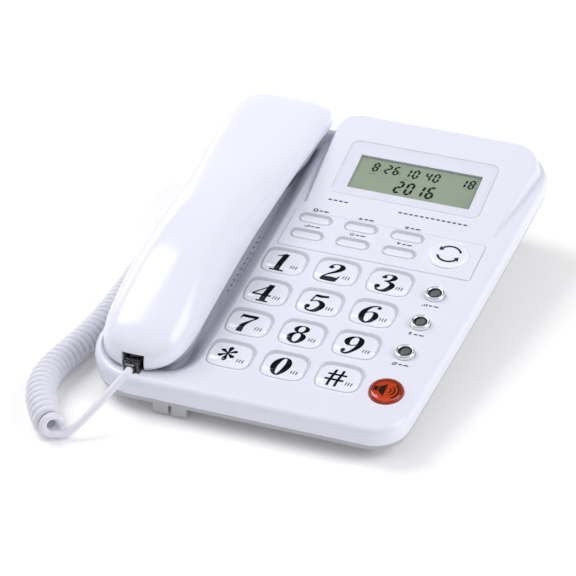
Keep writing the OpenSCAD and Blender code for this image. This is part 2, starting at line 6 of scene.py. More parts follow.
import bmesh
import bpy
from mathutils import Matrix, Vector
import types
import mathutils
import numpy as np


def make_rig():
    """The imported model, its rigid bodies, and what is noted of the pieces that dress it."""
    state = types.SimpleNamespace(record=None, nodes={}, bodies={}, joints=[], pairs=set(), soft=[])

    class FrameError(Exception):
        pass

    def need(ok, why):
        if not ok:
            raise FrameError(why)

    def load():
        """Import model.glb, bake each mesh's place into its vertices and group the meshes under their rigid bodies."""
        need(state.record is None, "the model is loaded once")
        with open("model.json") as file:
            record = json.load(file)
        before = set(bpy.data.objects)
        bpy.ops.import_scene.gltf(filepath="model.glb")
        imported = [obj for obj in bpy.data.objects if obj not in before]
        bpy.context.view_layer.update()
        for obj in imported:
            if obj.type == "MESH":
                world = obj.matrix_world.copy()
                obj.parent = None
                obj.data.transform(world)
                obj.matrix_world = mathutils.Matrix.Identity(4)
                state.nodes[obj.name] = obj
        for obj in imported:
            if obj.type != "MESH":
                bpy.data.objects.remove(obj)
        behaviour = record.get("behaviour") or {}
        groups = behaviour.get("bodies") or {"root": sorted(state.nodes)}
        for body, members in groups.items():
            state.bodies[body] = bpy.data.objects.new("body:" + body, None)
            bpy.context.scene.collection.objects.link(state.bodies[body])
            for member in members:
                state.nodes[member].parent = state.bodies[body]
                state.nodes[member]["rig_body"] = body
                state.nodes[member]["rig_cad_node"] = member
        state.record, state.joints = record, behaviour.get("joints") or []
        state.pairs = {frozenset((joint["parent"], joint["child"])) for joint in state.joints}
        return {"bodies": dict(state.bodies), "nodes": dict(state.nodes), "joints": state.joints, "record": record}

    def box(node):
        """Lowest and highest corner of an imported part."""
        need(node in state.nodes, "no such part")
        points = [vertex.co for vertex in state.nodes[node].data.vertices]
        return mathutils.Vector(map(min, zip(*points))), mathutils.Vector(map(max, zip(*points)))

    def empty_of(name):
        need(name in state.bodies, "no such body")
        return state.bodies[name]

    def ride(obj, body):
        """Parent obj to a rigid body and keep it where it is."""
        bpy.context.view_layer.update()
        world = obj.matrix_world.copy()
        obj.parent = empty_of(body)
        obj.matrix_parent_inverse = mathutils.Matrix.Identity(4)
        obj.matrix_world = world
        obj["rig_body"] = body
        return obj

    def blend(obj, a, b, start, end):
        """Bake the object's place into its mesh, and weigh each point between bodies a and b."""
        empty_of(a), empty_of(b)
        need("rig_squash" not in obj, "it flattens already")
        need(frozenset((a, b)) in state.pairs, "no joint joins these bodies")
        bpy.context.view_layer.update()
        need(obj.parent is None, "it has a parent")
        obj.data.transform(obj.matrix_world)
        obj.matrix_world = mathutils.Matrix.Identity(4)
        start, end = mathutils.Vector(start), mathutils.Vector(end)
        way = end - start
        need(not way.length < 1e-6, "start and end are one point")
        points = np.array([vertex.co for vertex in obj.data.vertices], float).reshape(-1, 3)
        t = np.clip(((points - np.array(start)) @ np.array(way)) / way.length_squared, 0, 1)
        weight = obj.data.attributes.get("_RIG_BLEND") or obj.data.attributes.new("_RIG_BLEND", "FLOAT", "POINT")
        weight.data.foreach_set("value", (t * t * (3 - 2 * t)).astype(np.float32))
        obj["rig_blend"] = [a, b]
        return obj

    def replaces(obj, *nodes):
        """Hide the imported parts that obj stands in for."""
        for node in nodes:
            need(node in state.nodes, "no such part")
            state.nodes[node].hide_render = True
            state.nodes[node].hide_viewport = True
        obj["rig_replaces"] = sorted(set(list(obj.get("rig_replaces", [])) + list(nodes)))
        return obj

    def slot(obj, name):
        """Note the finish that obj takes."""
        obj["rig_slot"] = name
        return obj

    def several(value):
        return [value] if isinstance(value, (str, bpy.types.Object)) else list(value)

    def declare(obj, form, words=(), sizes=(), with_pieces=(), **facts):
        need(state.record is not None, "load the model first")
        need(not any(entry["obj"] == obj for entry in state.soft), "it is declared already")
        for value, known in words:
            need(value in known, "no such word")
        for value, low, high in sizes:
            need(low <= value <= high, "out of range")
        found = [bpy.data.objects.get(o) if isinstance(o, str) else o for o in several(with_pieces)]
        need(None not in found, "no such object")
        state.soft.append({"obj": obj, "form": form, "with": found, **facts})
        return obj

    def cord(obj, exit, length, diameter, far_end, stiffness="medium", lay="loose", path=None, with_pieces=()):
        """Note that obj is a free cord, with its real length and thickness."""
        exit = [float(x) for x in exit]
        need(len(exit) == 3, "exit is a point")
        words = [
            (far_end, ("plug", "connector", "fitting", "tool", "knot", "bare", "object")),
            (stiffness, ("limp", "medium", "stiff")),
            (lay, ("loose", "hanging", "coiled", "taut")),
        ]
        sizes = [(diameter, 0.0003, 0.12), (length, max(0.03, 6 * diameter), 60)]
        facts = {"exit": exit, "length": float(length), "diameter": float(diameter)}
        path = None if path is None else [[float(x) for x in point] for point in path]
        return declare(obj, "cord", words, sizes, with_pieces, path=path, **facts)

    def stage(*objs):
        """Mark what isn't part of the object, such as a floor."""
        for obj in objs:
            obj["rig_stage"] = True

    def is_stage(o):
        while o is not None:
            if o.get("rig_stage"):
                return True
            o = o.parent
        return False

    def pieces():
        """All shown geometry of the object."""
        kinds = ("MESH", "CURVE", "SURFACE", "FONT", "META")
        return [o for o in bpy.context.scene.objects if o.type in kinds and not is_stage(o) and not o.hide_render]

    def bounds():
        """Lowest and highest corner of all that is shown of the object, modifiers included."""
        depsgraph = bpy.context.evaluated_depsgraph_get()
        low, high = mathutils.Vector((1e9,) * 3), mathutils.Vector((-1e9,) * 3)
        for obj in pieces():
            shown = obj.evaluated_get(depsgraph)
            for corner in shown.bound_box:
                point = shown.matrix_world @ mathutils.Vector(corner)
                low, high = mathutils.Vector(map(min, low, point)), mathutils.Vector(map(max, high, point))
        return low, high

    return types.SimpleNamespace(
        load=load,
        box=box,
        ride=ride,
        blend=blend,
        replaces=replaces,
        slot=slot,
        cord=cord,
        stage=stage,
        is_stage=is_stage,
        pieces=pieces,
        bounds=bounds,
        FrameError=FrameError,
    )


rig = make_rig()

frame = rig.load()
cad_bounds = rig.bounds()

# ---- Places, as in the CAD ----
MM = 0.001
TILT = math.radians(7.5)
HOOD_TILT = math.radians(6.8)
KEYPAD = Vector((8.5, -40.4, 25.5))
CREASE_S = 75.0
DESK = Matrix.Scale(MM, 4)
FACE = DESK @ Matrix.Translation(KEYPAD) @ Matrix.Rotation(TILT, 4, "X")
HOOD = FACE @ Matrix.Translation((0, CREASE_S, 0)) @ Matrix.Rotation(HOOD_TILT, 4, "X")
FACE_LEFT, FACE_RIGHT, FACE_FRONT, FACE_BACK = -86.5, 69.5, -61.0, 139.5
FRONT_TAPER, SIDE_BULGE = 8.2, 1.0
FRONT_RIGHT_R, BACK_RIGHT_R, BACK_LEFT_R, FRONT_LEFT_R = 15.5, 14, 15, 25
HOOD_LEFT, HOOD_RIGHT, HOOD_BACK = -35, 66, 139.3
HOOD_FRONT_LEFT, HOOD_FRONT_RIGHT = -31.6, 59.5
WALL_DEPTH, RIM_H, SHELL_T, FOOT_H = 9.0, 3.2, 2.5, 2.5
DIAL_W, DIAL_D, PITCH_X, PITCH_S = 20.5, 16.5, 25.0, 22.1
PILL_W, PILL_D, PILL_X, PILL_S = 16.0, 6.4, (-22.3, -0.4, 21.9), (66.0, 54.4)
REDIAL_AT, REDIAL_D = (44.1, 59.0), 18.6
OPTION_X, OPTION_S, OPTION_D = 46.8, (30.8, 10.6, -10.0), 9.0
SPEAKER_AT, SPEAKER_D = (47.2, -36.0), 15.4
KEY_GAP = 0.11
PANEL = (-33.6, 58.2, 44.6, 70.6)
WINDOW_AT, WINDOW_W, WINDOW_D = (12.9, 28.9), 72.0, 35.5
LCD_AT, LCD_W, LCD_D = (13.3, 27.1), 59.3, 21.9
HANDSET_X, HANDSET_FRONT, HANDSET_L, HANDSET_W = -61.8, -55.5, 197.0, 42.0
HANDSET_MID = HANDSET_FRONT + HANDSET_L / 2
GRIP_H, EAR_H, EAR_FLARE, JACK_N = 20.0, 12.5, 2.5, 3.6
MOUTH_S, EAR_S = -28.0, 112.0
WIRE_D, COIL_D = 3.4, 13.5
PLUG_W, PLUG_H, PLUG_L = 7.6, 6.4, 13.0
BACK_SCREWS, FRONT_SCREWS = [(-18, 86), (50, 86)], [(-18, -54), (42, -54)]
FEET = [(-60, -76), (49, -76), (-60, 84), (36, 84)]

DIAL_KEYS = [f"key_{mark}" for mark in (*range(1, 10), "star", 0, "hash")]
PILL_KEYS = ["store_key", "up_key", "delete_key", "recall_key", "set_key", "down_key"]
OPTION_KEYS = ["volume_key", "flash_key", "mute_key"]
DIAL_AT = {name: ((i % 3 - 1) * PITCH_X, (1.5 - i // 3) * PITCH_S) for i, name in enumerate(DIAL_KEYS)}
PILL_AT = {name: (PILL_X[i % 3], PILL_S[i // 3]) for i, name in enumerate(PILL_KEYS)}


def face(x, s, n):
    """World place of a point given in face coordinates."""
    return FACE @ Vector((x, s, n))


def lerp(a, b, t):
    return a + (b - a) * t


def smoothstep(t):
    t = min(max(t, 0.0), 1.0)
    return t * t * (3 - 2 * t)


# ---- Camera: 21 degrees to the right, 33 degrees up, a long lens ----
def place_camera(azimuth, elevation, roll, distance, target, lens):
    a, e = math.radians(azimuth), math.radians(elevation)
    back = Vector((math.sin(a) * math.cos(e), -math.cos(a) * math.cos(e), math.sin(e)))
    right = Vector((math.cos(a), math.sin(a), 0))
    up = back.cross(right)
    turn = Matrix((right, up, back)).transposed() @ Matrix.Rotation(math.radians(roll), 3, "Z")
    camera = bpy.data.objects.new("camera", bpy.data.cameras.new("camera"))
    camera.data.lens = lens
    camera.data.sensor_width = 36
    camera.data.clip_start, camera.data.clip_end = 0.05, 20
    camera.matrix_world = Matrix.Translation(target + back * distance) @ turn.to_4x4()
    bpy.context.scene.collection.objects.link(camera)
    bpy.context.scene.camera = camera


place_camera(20.96, 32.91, -0.30, 1.3036, Vector((-0.0037, -0.0373, 0.0368)), 185.51)


# ---- Mesh tools: a shape is a pair (points, faces) ----
def loft(rings, start_cap=True, end_cap=True, closed=True):
    n, m = len(rings[0]), len(rings)
    span = n if closed else n - 1
    faces = [[j * n + i, j * n + (i + 1) % n, (j + 1) * n + (i + 1) % n, (j + 1) * n + i]
             for j in range(m - 1) for i in range(span)]
    if start_cap:
        faces.append(list(range(n))[::-1])
    if end_cap:
        faces.append([(m - 1) * n + i for i in range(n)])
    return [p for ring in rings for p in ring], faces


def joined(*shapes):
    points, faces = [], []
    for p, f in shapes:
        faces += [[i + len(points) for i in corner] for corner in f]
        points += list(p)
    return points, faces


def moved(shape, change):
    """The shape with change(x, y, z) of every point."""
    return [change(*p) for p in shape[0]], shape[1]


def solid(name, shape, place=FACE):
    """A closed mesh object from a shape, with its normals outward."""
    mesh = bpy.data.meshes.new(name)
    mesh.from_pydata([place @ Vector(p) for p in shape[0]], [], shape[1])
    bm = bmesh.new()
    bm.from_mesh(mesh)
    bmesh.ops.remove_doubles(bm, verts=bm.verts, dist=1e-7)
    bmesh.ops.recalc_face_normals(bm, faces=bm.faces)
    bm.to_mesh(mesh)
    bm.free()
    obj = bpy.data.objects.new(name, mesh)
    bpy.context.scene.collection.objects.link(obj)
    return obj


def apply_modifiers(obj):
    depsgraph = bpy.context.evaluated_depsgraph_get()
    mesh = bpy.data.meshes.new_from_object(obj.evaluated_get(depsgraph))
    old = obj.data
    obj.modifiers.clear()
    obj.data = mesh
    mesh.name = obj.name
    bpy.data.meshes.remove(old)
    return obj


def combine(obj, operation, *others):
    """Boolean of obj with solids, which are then removed."""
    for other in others:
        modifier = obj.modifiers.new("combine", "BOOLEAN")
        modifier.operation = operation
        modifier.solver = "MANIFOLD"
        modifier.object = other
    apply_modifiers(obj)
    for other in others:
        bpy.data.objects.remove(other)
    return obj


def cut(obj, *others):
    return combine(obj, "DIFFERENCE", *others)


def unite(obj, *others):
    return combine(obj, "UNION", *others)


def united(name, shapes, place=FACE):
    """One solid from shapes that overlap."""
    obj = solid(name, shapes[0], place)
    if len(shapes) > 1:
        unite(obj, *[solid("part", shape, place) for shape in shapes[1:]])
    return obj


def shaded(obj, angle=32, weighted=True):
    """Smooth shading with sharp edges past angle, and large faces kept flat."""
    mesh = obj.data
    mesh.polygons.foreach_set("use_smooth", [True] * len(mesh.polygons))
    mesh.set_sharp_from_angle(angle=math.radians(angle))
    if weighted:
        modifier = obj.modifiers.new("weighted normals", "WEIGHTED_NORMAL")
        modifier.keep_sharp = True
        modifier.weight = 80
    return obj


def bevelled(obj, width, segments=2, angle=40):
    modifier = obj.modifiers.new("bevel", "BEVEL")
    modifier.width = width * MM
    modifier.segments = segments
    modifier.limit_method = "ANGLE"
    modifier.angle_limit = math.radians(angle)
    apply_modifiers(obj)
    return shaded(obj, 50)


def dressed(obj, material, body="base", slot=None, replaces=()):
    """Material, body, slot and replaced nodes of a finished piece."""
    obj.data.materials.clear()
    obj.data.materials.append(material)
    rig.ride(obj, body)
    if slot:
        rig.slot(obj, slot)
    if replaces:
        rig.replaces(obj, *replaces)
    return obj


# ---- Outlines ----
def arc(cx, cy, r, start, z, steps=12, sweep=90):
    return [(cx + r * math.cos(math.radians(start + sweep * i / steps)),
             cy + r * math.sin(math.radians(start + sweep * i / steps)), z) for i in range(steps + 1)]


def around(at, width, depth, grow=0):
    """Left, right, front and back of a rectangle around a place, grown on every side."""
    x, y = at
    return x - width / 2 - grow, x + width / 2 + grow, y - depth / 2 - grow, y + depth / 2 + grow


def quarter(steps):
    """How far a rounded edge has come (across, down) at each step of its quarter circle."""
    angles = [math.radians(90 * i / steps) for i in range(steps + 1)]
    return [(1 - math.cos(a), 1 - math.sin(a)) for a in angles]


def box_ring(x0, x1, y0, y1, r, z, steps=8):
    return (arc(x1 - r, y1 - r, r, 0, z, steps) + arc(x0 + r, y1 - r, r, 90, z, steps)
            + arc(x0 + r, y0 + r, r, 180, z, steps) + arc(x1 - r, y0 + r, r, 270, z, steps))


def power(v, e):
    """The power of a number, with the number's own sign."""
    return math.copysign(abs(v) ** e, v)


def oval_ring(cx, cy, a, b, squareness, z, n=64):
    """An oval: round for a squareness of 2, and nearer to a rectangle above it."""
    angles = [2 * math.pi * i / n for i in range(n)]
    return [(cx + a * power(math.cos(t), 2 / squareness), cy + b * power(math.sin(t), 2 / squareness), z)
            for t in angles]


def stadium_ring(cx, cy, a, b, z, steps=20):
    straight = a - b
    return (arc(cx + straight, cy, b, -90, z, steps, 180) + arc(cx - straight, cy, b, 90, z, steps, 180))


def round_ring(cx, cy, r, z, n=64):
    return oval_ring(cx, cy, r, r, 2, z, n)


def case_ring(inset, z):
    """Outline of the case. Its right side widens to the back and bulges a little."""
    x0, y0, y1 = FACE_RIGHT - FRONT_TAPER, FACE_FRONT + FRONT_RIGHT_R, FACE_BACK - BACK_RIGHT_R
    side = []
    for i in range(1, 12):
        t = i / 12
        side.append((x0 + FRONT_TAPER * t + 4 * SIDE_BULGE * t * (1 - t) - inset, lerp(y0, y1, t), z))
    return (arc(FACE_RIGHT - BACK_RIGHT_R, y1, BACK_RIGHT_R - inset, 0, z, 14)
            + arc(FACE_LEFT + BACK_LEFT_R, FACE_BACK - BACK_LEFT_R, BACK_LEFT_R - inset, 90, z, 14)
            + arc(FACE_LEFT + FRONT_LEFT_R, FACE_FRONT + FRONT_LEFT_R, FRONT_LEFT_R - inset, 180, z, 18)
            + arc(x0 - FRONT_RIGHT_R, y0, FRONT_RIGHT_R - inset, 270, z, 14) + side)


def prism(ring, height):
    z = ring[0][2]
    return loft([ring, [(x, y, z + height) for x, y, _ in ring]])


def pegs(centres, r, z, height, n=24):
    """Upright round pegs, or the cutters for round holes."""
    return joined(*[prism(round_ring(x, y, r, z, n), height) for x, y in centres])


def flared(ring_of, depth, edge):
    """A hole cutter: ring_of(offset, z), straight from -depth, with a rounded mouth of that edge radius."""
    rings = [ring_of(0, -depth), ring_of(0, -edge)]
    rings += [ring_of(edge * across, -edge * down) for across, down in quarter(4)[1:]]
    rings.append(ring_of(edge + 0.05, 3.0))
    return loft(rings)


def box(x0, x1, y0, y1, z0, z1):
    return prism([(x0, y0, z0), (x1, y0, z0), (x1, y1, z0), (x0, y1, z0)], z1 - z0)


def round_edged(ring_of, z0, z1, bottom, top, steps=4):
    """A plate between z0 and z1 with rounded lower and upper edges; ring_of(inset, z)."""
    rings = [ring_of(bottom * down, z0 + bottom * across) for across, down in quarter(steps)]
    rings += [ring_of(top * across, z1 - top * down) for across, down in quarter(steps)]
    return loft(rings)


# ---- Materials ----
def new_material(name, colour, roughness, **sockets):
    material = bpy.data.materials.new(name)
    material.use_nodes = True
    shader = material.node_tree.nodes["Principled BSDF"]
    shader.inputs["Base Color"].default_value = (*colour, 1)
    shader.inputs["Roughness"].default_value = roughness
    for socket, value in sockets.items():
        shader.inputs[socket.replace("_", " ")].default_value = value
    return material


def link(material, start, output, end, socket):
    material.node_tree.links.new(start.outputs[output], end.inputs[socket])


def node(material, kind, **values):
    new = material.node_tree.nodes.new(kind)
    for name, value in values.items():
        if name in new.inputs:
            new.inputs[name].default_value = value
        else:
            setattr(new, name, value)
    return new


def noise(material, scale, detail=3.0):
    place = node(material, "ShaderNodeTexCoord")
    texture = node(material, "ShaderNodeTexNoise", Scale=scale, Detail=detail)
    link(material, place, "Object", texture, "Vector")
    return texture


def grained(material, scale, depth, strength=0.3):
    """A fine moulded or drawn surface: bump from noise."""
    shader = material.node_tree.nodes["Principled BSDF"]
    bump = node(material, "ShaderNodeBump", Strength=strength, Distance=depth * MM)
    link(material, noise(material, scale), "Fac", bump, "Height")
    link(material, bump, "Normal", shader, "Normal")
    return material


def mottled(material, low, high, scale):
    """Slow colour variation between two colours."""
    shader = material.node_tree.nodes["Principled BSDF"]
    ramp = node(material, "ShaderNodeValToRGB")
    ramp.color_ramp.elements[0].position, ramp.color_ramp.elements[1].position = 0.3, 0.7
    ramp.color_ramp.elements[0].color = (*low, 1)
    ramp.color_ramp.elements[1].color = (*high, 1)
    link(material, noise(material, scale, 4.0), "Fac", ramp, "Fac")
    link(material, ramp, "Color", shader, "Base Color")
    return material


def worn_roughness(material, low, high, scale):
    """Gloss that varies as on a handled or moulded surface."""
    shader = material.node_tree.nodes["Principled BSDF"]
    spread = node(material, "ShaderNodeMapRange")
    spread.inputs["To Min"].default_value, spread.inputs["To Max"].default_value = low, high
    link(material, noise(material, scale, 5.0), "Fac", spread, "Value")
    link(material, spread, "Result", shader, "Roughness")
    return material


def white_plastic(name, colour, low, high, grain=0.010):
    shade = tuple(c * 0.985 for c in colour)
    material = new_material(name, colour, high, IOR=1.53)
    mottled(material, shade, colour, 18)
    worn_roughness(material, low, high, 60)
    return grained(material, 1400, grain, 0.12)


def plain(name, colour, roughness, scale, depth, **sockets):
    """One colour with a fine grain."""
    return grained(new_material(name, colour, roughness, **sockets), scale, depth)


def metal(name, colour, roughness, low, high, scale, metallic=1.0):
    return worn_roughness(new_material(name, colour, roughness, Metallic=metallic), low, high, scale)


def two_tone(name, colour, roughness, low, high, scale, **sockets):
    return mottled(new_material(name, colour, roughness, **sockets), low, high, scale)


def clear_plastic(name, colour, roughness=0.02):
    material = new_material(name, colour, roughness, IOR=1.49, Transmission_Weight=1.0)
    return worn_roughness(material, roughness * 0.5, roughness * 1.5, 90)


SHELL = white_plastic("white_shell", (0.795, 0.795, 0.905), 0.20, 0.30)
HANDSET_WHITE = white_plastic("handset_white", (0.835, 0.835, 0.955), 0.13, 0.20)
UNDER_WHITE = white_plastic("grey_white_shell", (0.48, 0.48, 0.51), 0.34, 0.46, 0.02)
INNER_WHITE = white_plastic("handset_inner_white", (0.58, 0.58, 0.65), 0.30, 0.42, 0.02)
# The shell's white, darkened as painted shade: the window mask gets light through the lens, which casts no shadow, and
# is kept as dark as the shell.
MASK_PAINTED_SHADE_WHITE = white_plastic("mask_white", (0.66, 0.66, 0.75), 0.40, 0.50)
PANEL_WHITE = white_plastic("panel_white", (0.79, 0.79, 0.90), 0.26, 0.36)
INSERT_WHITE = white_plastic("insert_white", (0.83, 0.84, 0.91), 0.45, 0.55)
# Grey for the inserts of the dial keys. It shows through the clear cap as a band along each key's back edge: painted
# shade for the key's back flank.
KEY_PAINTED_SHADE_GREY = white_plastic("key_grey", (0.52, 0.525, 0.595), 0.45, 0.55)
PILL_GREY = white_plastic("pill_grey", (0.50, 0.505, 0.57), 0.45, 0.55)
CORD_WHITE = white_plastic("cord_jacket", (0.755, 0.75, 0.835), 0.36, 0.48, 0.02)
CLEAR = clear_plastic("clear_key", (0.93, 0.94, 0.965))
LENS = clear_plastic("clear_window", (0.99, 0.99, 1.0))
PLUG_CLEAR = clear_plastic("clear_plug", (0.90, 0.93, 0.95), 0.06)
ORANGE_CLEAR = clear_plastic("orange_clear", (0.90, 0.38, 0.15), 0.03)
ORANGE_RIM = two_tone("orange_rim", (0.27, 0.026, 0.005), 0.4, (0.25, 0.024, 0.005), (0.29, 0.029, 0.006), 90)
ORANGE = two_tone("orange_insert", (0.56, 0.08, 0.016), 0.4, (0.52, 0.07, 0.013), (0.60, 0.09, 0.02), 90)
KEY_INK = plain("key_ink", (0.006, 0.006, 0.010), 0.5, 900, 0.01, Specular_IOR_Level=0.0)
INK = plain("black_ink", (0.008, 0.008, 0.012), 0.35, 900, 0.01)
GREY_INK = plain("grey_ink", (0.035, 0.035, 0.045), 0.5, 900, 0.01)
LCD_GLASS = two_tone("lcd_glass", (0.25, 0.305, 0.23), 0.35, (0.235, 0.29, 0.215), (0.27, 0.325, 0.245), 14,
                     Specular_IOR_Level=0.25)
LCD_FAINT = plain("lcd_faint", (0.16, 0.20, 0.15), 0.4, 900, 0.01)
LCD_INK = plain("lcd_segments", (0.010, 0.013, 0.011), 0.5, 900, 0.01, Specular_IOR_Level=0.05)
BRIGHT_RING = metal("bright_ring", (0.86, 0.87, 0.90), 0.12, 0.08, 0.16, 120, 0.75)
SMOKE = worn_roughness(new_material("smoke_centre", (0.13, 0.14, 0.14), 0.18), 0.14, 0.24, 150)
DARK = plain("dark_plastic", (0.022, 0.022, 0.025), 0.5, 1200, 0.03)
JACK = plain("jack_plastic", (0.03, 0.03, 0.033), 0.45, 1200, 0.03)
BOARD = two_tone("circuit_board", (0.02, 0.16, 0.07), 0.35, (0.012, 0.12, 0.05), (0.03, 0.19, 0.085), 220)
SILICONE = plain("silicone", (0.42, 0.43, 0.45), 0.6, 800, 0.02)
FRAME_METAL = plain("speaker_frame", (0.03, 0.03, 0.034), 0.4, 700, 0.03, Metallic=0.4)
STEEL = metal("steel_plate", (0.55, 0.56, 0.58), 0.35, 0.25, 0.45, 200)
SPRING_STEEL = metal("spring_steel", (0.62, 0.62, 0.64), 0.25, 0.2, 0.32, 500)
SCREW_STEEL = metal("screw_steel", (0.60, 0.60, 0.62), 0.3, 0.2, 0.4, 400)
CAPSULE = metal("capsule_metal", (0.6, 0.6, 0.62), 0.3, 0.2, 0.4, 400)
RUBBER = plain("foot_rubber", (0.10, 0.10, 0.105), 0.75, 900, 0.04)
GOLD = metal("gold_contact", (0.83, 0.62, 0.25), 0.25, 0.18, 0.3, 600)


# ---- Handset cord, in millimetres on the desk ----
COIL_ROUTE = [(-76, -132), (-81, -126), (-87, -117.5), (-91.5, -109), (-94, -99), (-94, -88), (-92, -77),
              (-90, -65), (-88.5, -52), (-88, -35), (-88, -15), (-88.5, 5), (-89, 25), (-89, 42)]
HANDSET_TAIL = [(-54.8, -104.5, 19.6), (-58.5, -111.5, 15.2), (-62.5, -118.5, 10.4), (-66.8, -124.6, 6),
                (-71, -128.6, 3)]
BASE_TAIL = [(-89.8, 50, 7.6), (-88.6, 56.5, 9.6), (-84.5, 60, 11), (-79.65, 60, 11)]
COIL_Z = COIL_D / 2 + 0.2
COIL_R = (COIL_D - WIRE_D) / 2
COIL_PITCH = 3.56


def through(points, n):
    """A Catmull-Rom curve through the points, with n steps between each two."""
    points = [Vector(p) for p in points]
    ends = [points[0] * 2 - points[1], *points, points[-1] * 2 - points[-2]]
    fine = []
    for a, b, c, d in zip(ends, ends[1:], ends[2:], ends[3:]):
        for i in range(n):
            t = i / n
            fine.append(0.5 * ((2 * b) + (c - a) * t + (2 * a - 5 * b + 4 * c - d) * t * t
                               + (3 * b - a - 3 * c + d) * t ** 3))
    return [*fine, points[-1]]


def spline(points, step):
    """Points a step apart along the curve through the given ones."""
    fine = through(points, 40)
    even, carry = [fine[0]], 0.0
    for p, q in zip(fine, fine[1:]):
        length = (q - p).length
        while carry + length >= step:
            p = p.lerp(q, (step - carry) / length)
            even.append(p)
            length = (q - p).length
            carry = 0.0
        carry += length
    return [*even, fine[-1]]


def helix(route, spiral_end):
    """The wire's turns around a flat route: narrow where they start, wound in where they end."""
    axis = spline([(x, y, COIL_Z) for x, y in route], 0.12)
    length = sum((b - a).length for a, b in zip(axis, axis[1:]))
    turn, along, points = -math.pi / 2, 0.0, []
    for a, b in zip(axis, axis[1:]):
        ahead = (b - a).normalized()
        side = ahead.cross(Vector((0, 0, 1)))
        radius = COIL_R * smoothstep((length - along) / spiral_end) * (0.6 + 0.4 * smoothstep(along / 5))
        points.append(a + radius * (math.cos(turn) * side + math.sin(turn) * Vector((0, 0, 1))))
        pitch = COIL_PITCH + 1.5 * math.exp(-along / 7) + 1.6 * smoothstep(1 - (length - along) / spiral_end)
        step = (b - a).length
        turn -= 2 * math.pi * step / pitch
        along += step
    return points


def tube(path, diameter, sides):
    """A tube along a path, with frames carried along it without twist."""
    rings = []
    ahead = (path[1] - path[0]).normalized()
    side = ahead.cross(Vector((0, 0, 1))).normalized()
    for i, p in enumerate(path):
        ahead = (path[min(i + 1, len(path) - 1)] - path[max(i - 1, 0)]).normalized()
        side = (side - ahead * side.dot(ahead)).normalized()
        up = ahead.cross(side)
        rings.append([p + diameter / 2 * (math.cos(a) * side + math.sin(a) * up)
                      for a in (2 * math.pi * k / sides for k in range(sides))])
    return loft(rings)


def make_cord():
    plug_face = Vector(face(HANDSET_X, -59.05, JACK_N)) / MM
    plug_out = Vector(face(HANDSET_X, -61.5, JACK_N)) / MM
    turns = helix(COIL_ROUTE, 9.0)
    path = spline([plug_face, plug_out, *HANDSET_TAIL, turns[0]], 0.7)[:-1]
    path += turns
    path += spline([turns[-1], *BASE_TAIL], 0.7)[1:]
    kept = [path[0]]
    for p in path[1:]:
        if (p - kept[-1]).length > 0.55:
            kept.append(p)
    cord = solid("handset_cord", tube(kept, WIRE_D, 12), DESK)
    shaded(cord, 60, weighted=False)
    cord.data.materials.append(CORD_WHITE)
    centreline = [p * MM for p in kept]
    length = sum((b - a).length for a, b in zip(centreline, centreline[1:]))
    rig.slot(cord, "cord_jacket")
    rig.replaces(cord, "cord_tail_handset", "cord_coil", "cord_tail_base")
    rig.blend(cord, "base", "handset", start=(-0.0715, 0, 0), end=(-0.0552, 0, 0))
    return cord, centreline, round(length, 2)


# ---- Modular plugs: clear body, latch and gold blades ----
def make_plug(name, node_name, place, body):
    """A plug along +Y, its cable side at y = 0."""
    w, h, length = PLUG_W, PLUG_H, PLUG_L
    block = solid(name, box(-w / 2, w / 2, 0, length, -h / 2, h / 2), place)
    boot = solid(name + "_boot", box(-2.3, 2.3, -1.6, 1, -2.1, 2.1), place)
    unite(block, boot)
    pocket = solid("pocket", box(-2.1, 2.1, 4.5, length + 1, h / 2 - 1.1, h / 2 + 1), place)
    cut(block, pocket)
    bevelled(block, 0.3, 2)
    dressed(block, PLUG_CLEAR, body, "clear_plug", [node_name])
    block.visible_shadow = False
    blades = [box(x - 0.16, x + 0.16, length - 3.2, length - 0.6, h / 2 - 2.6, h / 2 - 1.25)
              for x in (-1.5, -0.5, 0.5, 1.5)]
    contacts = solid(name + "_contacts", joined(*blades), place)
    dressed(bevelled(contacts, 0.05, 1), GOLD, body, "clear_plug")
    latch = loft([[(x, y, z + t) for x, t in ((-1.6, 0), (1.6, 0), (1.6, 0.7), (-1.6, 0.7))]
                  for y, z in ((length - 1.5, -h / 2 - 0.7), (length - 5, -h / 2 - 1.2),
                               (length - 9.5, -h / 2 - 1.5))])
    tongue = solid(name + "_latch", latch, place)
    dressed(bevelled(tongue, 0.15, 1), PLUG_CLEAR, body, "clear_plug")
    tongue.visible_shadow = False
    return [block, contacts, tongue]


cord, cord_path, cord_length = make_cord()
handset_plug = make_plug("handset_plug_body", "handset_plug",
                         FACE @ Matrix.Translation((HANDSET_X, -57.4, JACK_N)), "handset")
base_plug = make_plug("base_plug_body", "base_plug",
                      DESK @ Matrix.Translation((-78, 60, 11)) @ Matrix.Rotation(-math.pi / 2, 4, "Z"),
                      "base")
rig.cord(cord, exit=cord_path[-1], length=cord_length, diameter=WIRE_D * MM, far_end="object",
        stiffness="limp", lay="coiled", path=cord_path[::-1], with_pieces=[*handset_plug, *base_plug])


# ---- Upper case ----
def hood_top(s):
    return max(0.0, s - CREASE_S) * math.tan(HOOD_TILT)


def hood_ring(inset, lean, height):
    """Ring of the display hood; height(top) gives each point's height from the hood's top there."""
    plan = (arc(HOOD_RIGHT - 14 - lean, HOOD_BACK - 14, 14 - inset, 0, 0, 14)
            + arc(HOOD_LEFT + 10 + lean / 2, HOOD_BACK - 10, 10 - inset, 90, 0, 12)
            + arc(HOOD_FRONT_LEFT + 2 + inset / 2, CREASE_S + 2.2, 2, 180, 0, 4)
            + arc(HOOD_FRONT_RIGHT - 2 - inset / 2, CREASE_S + 2.2, 2, 270, 0, 4))
    limit = HOOD_BACK - max(inset, 0)
    return [(x, min(y, limit), height(hood_top(min(y, limit)))) for x, y, _ in plan]


HOOD_EDGE = 2.2


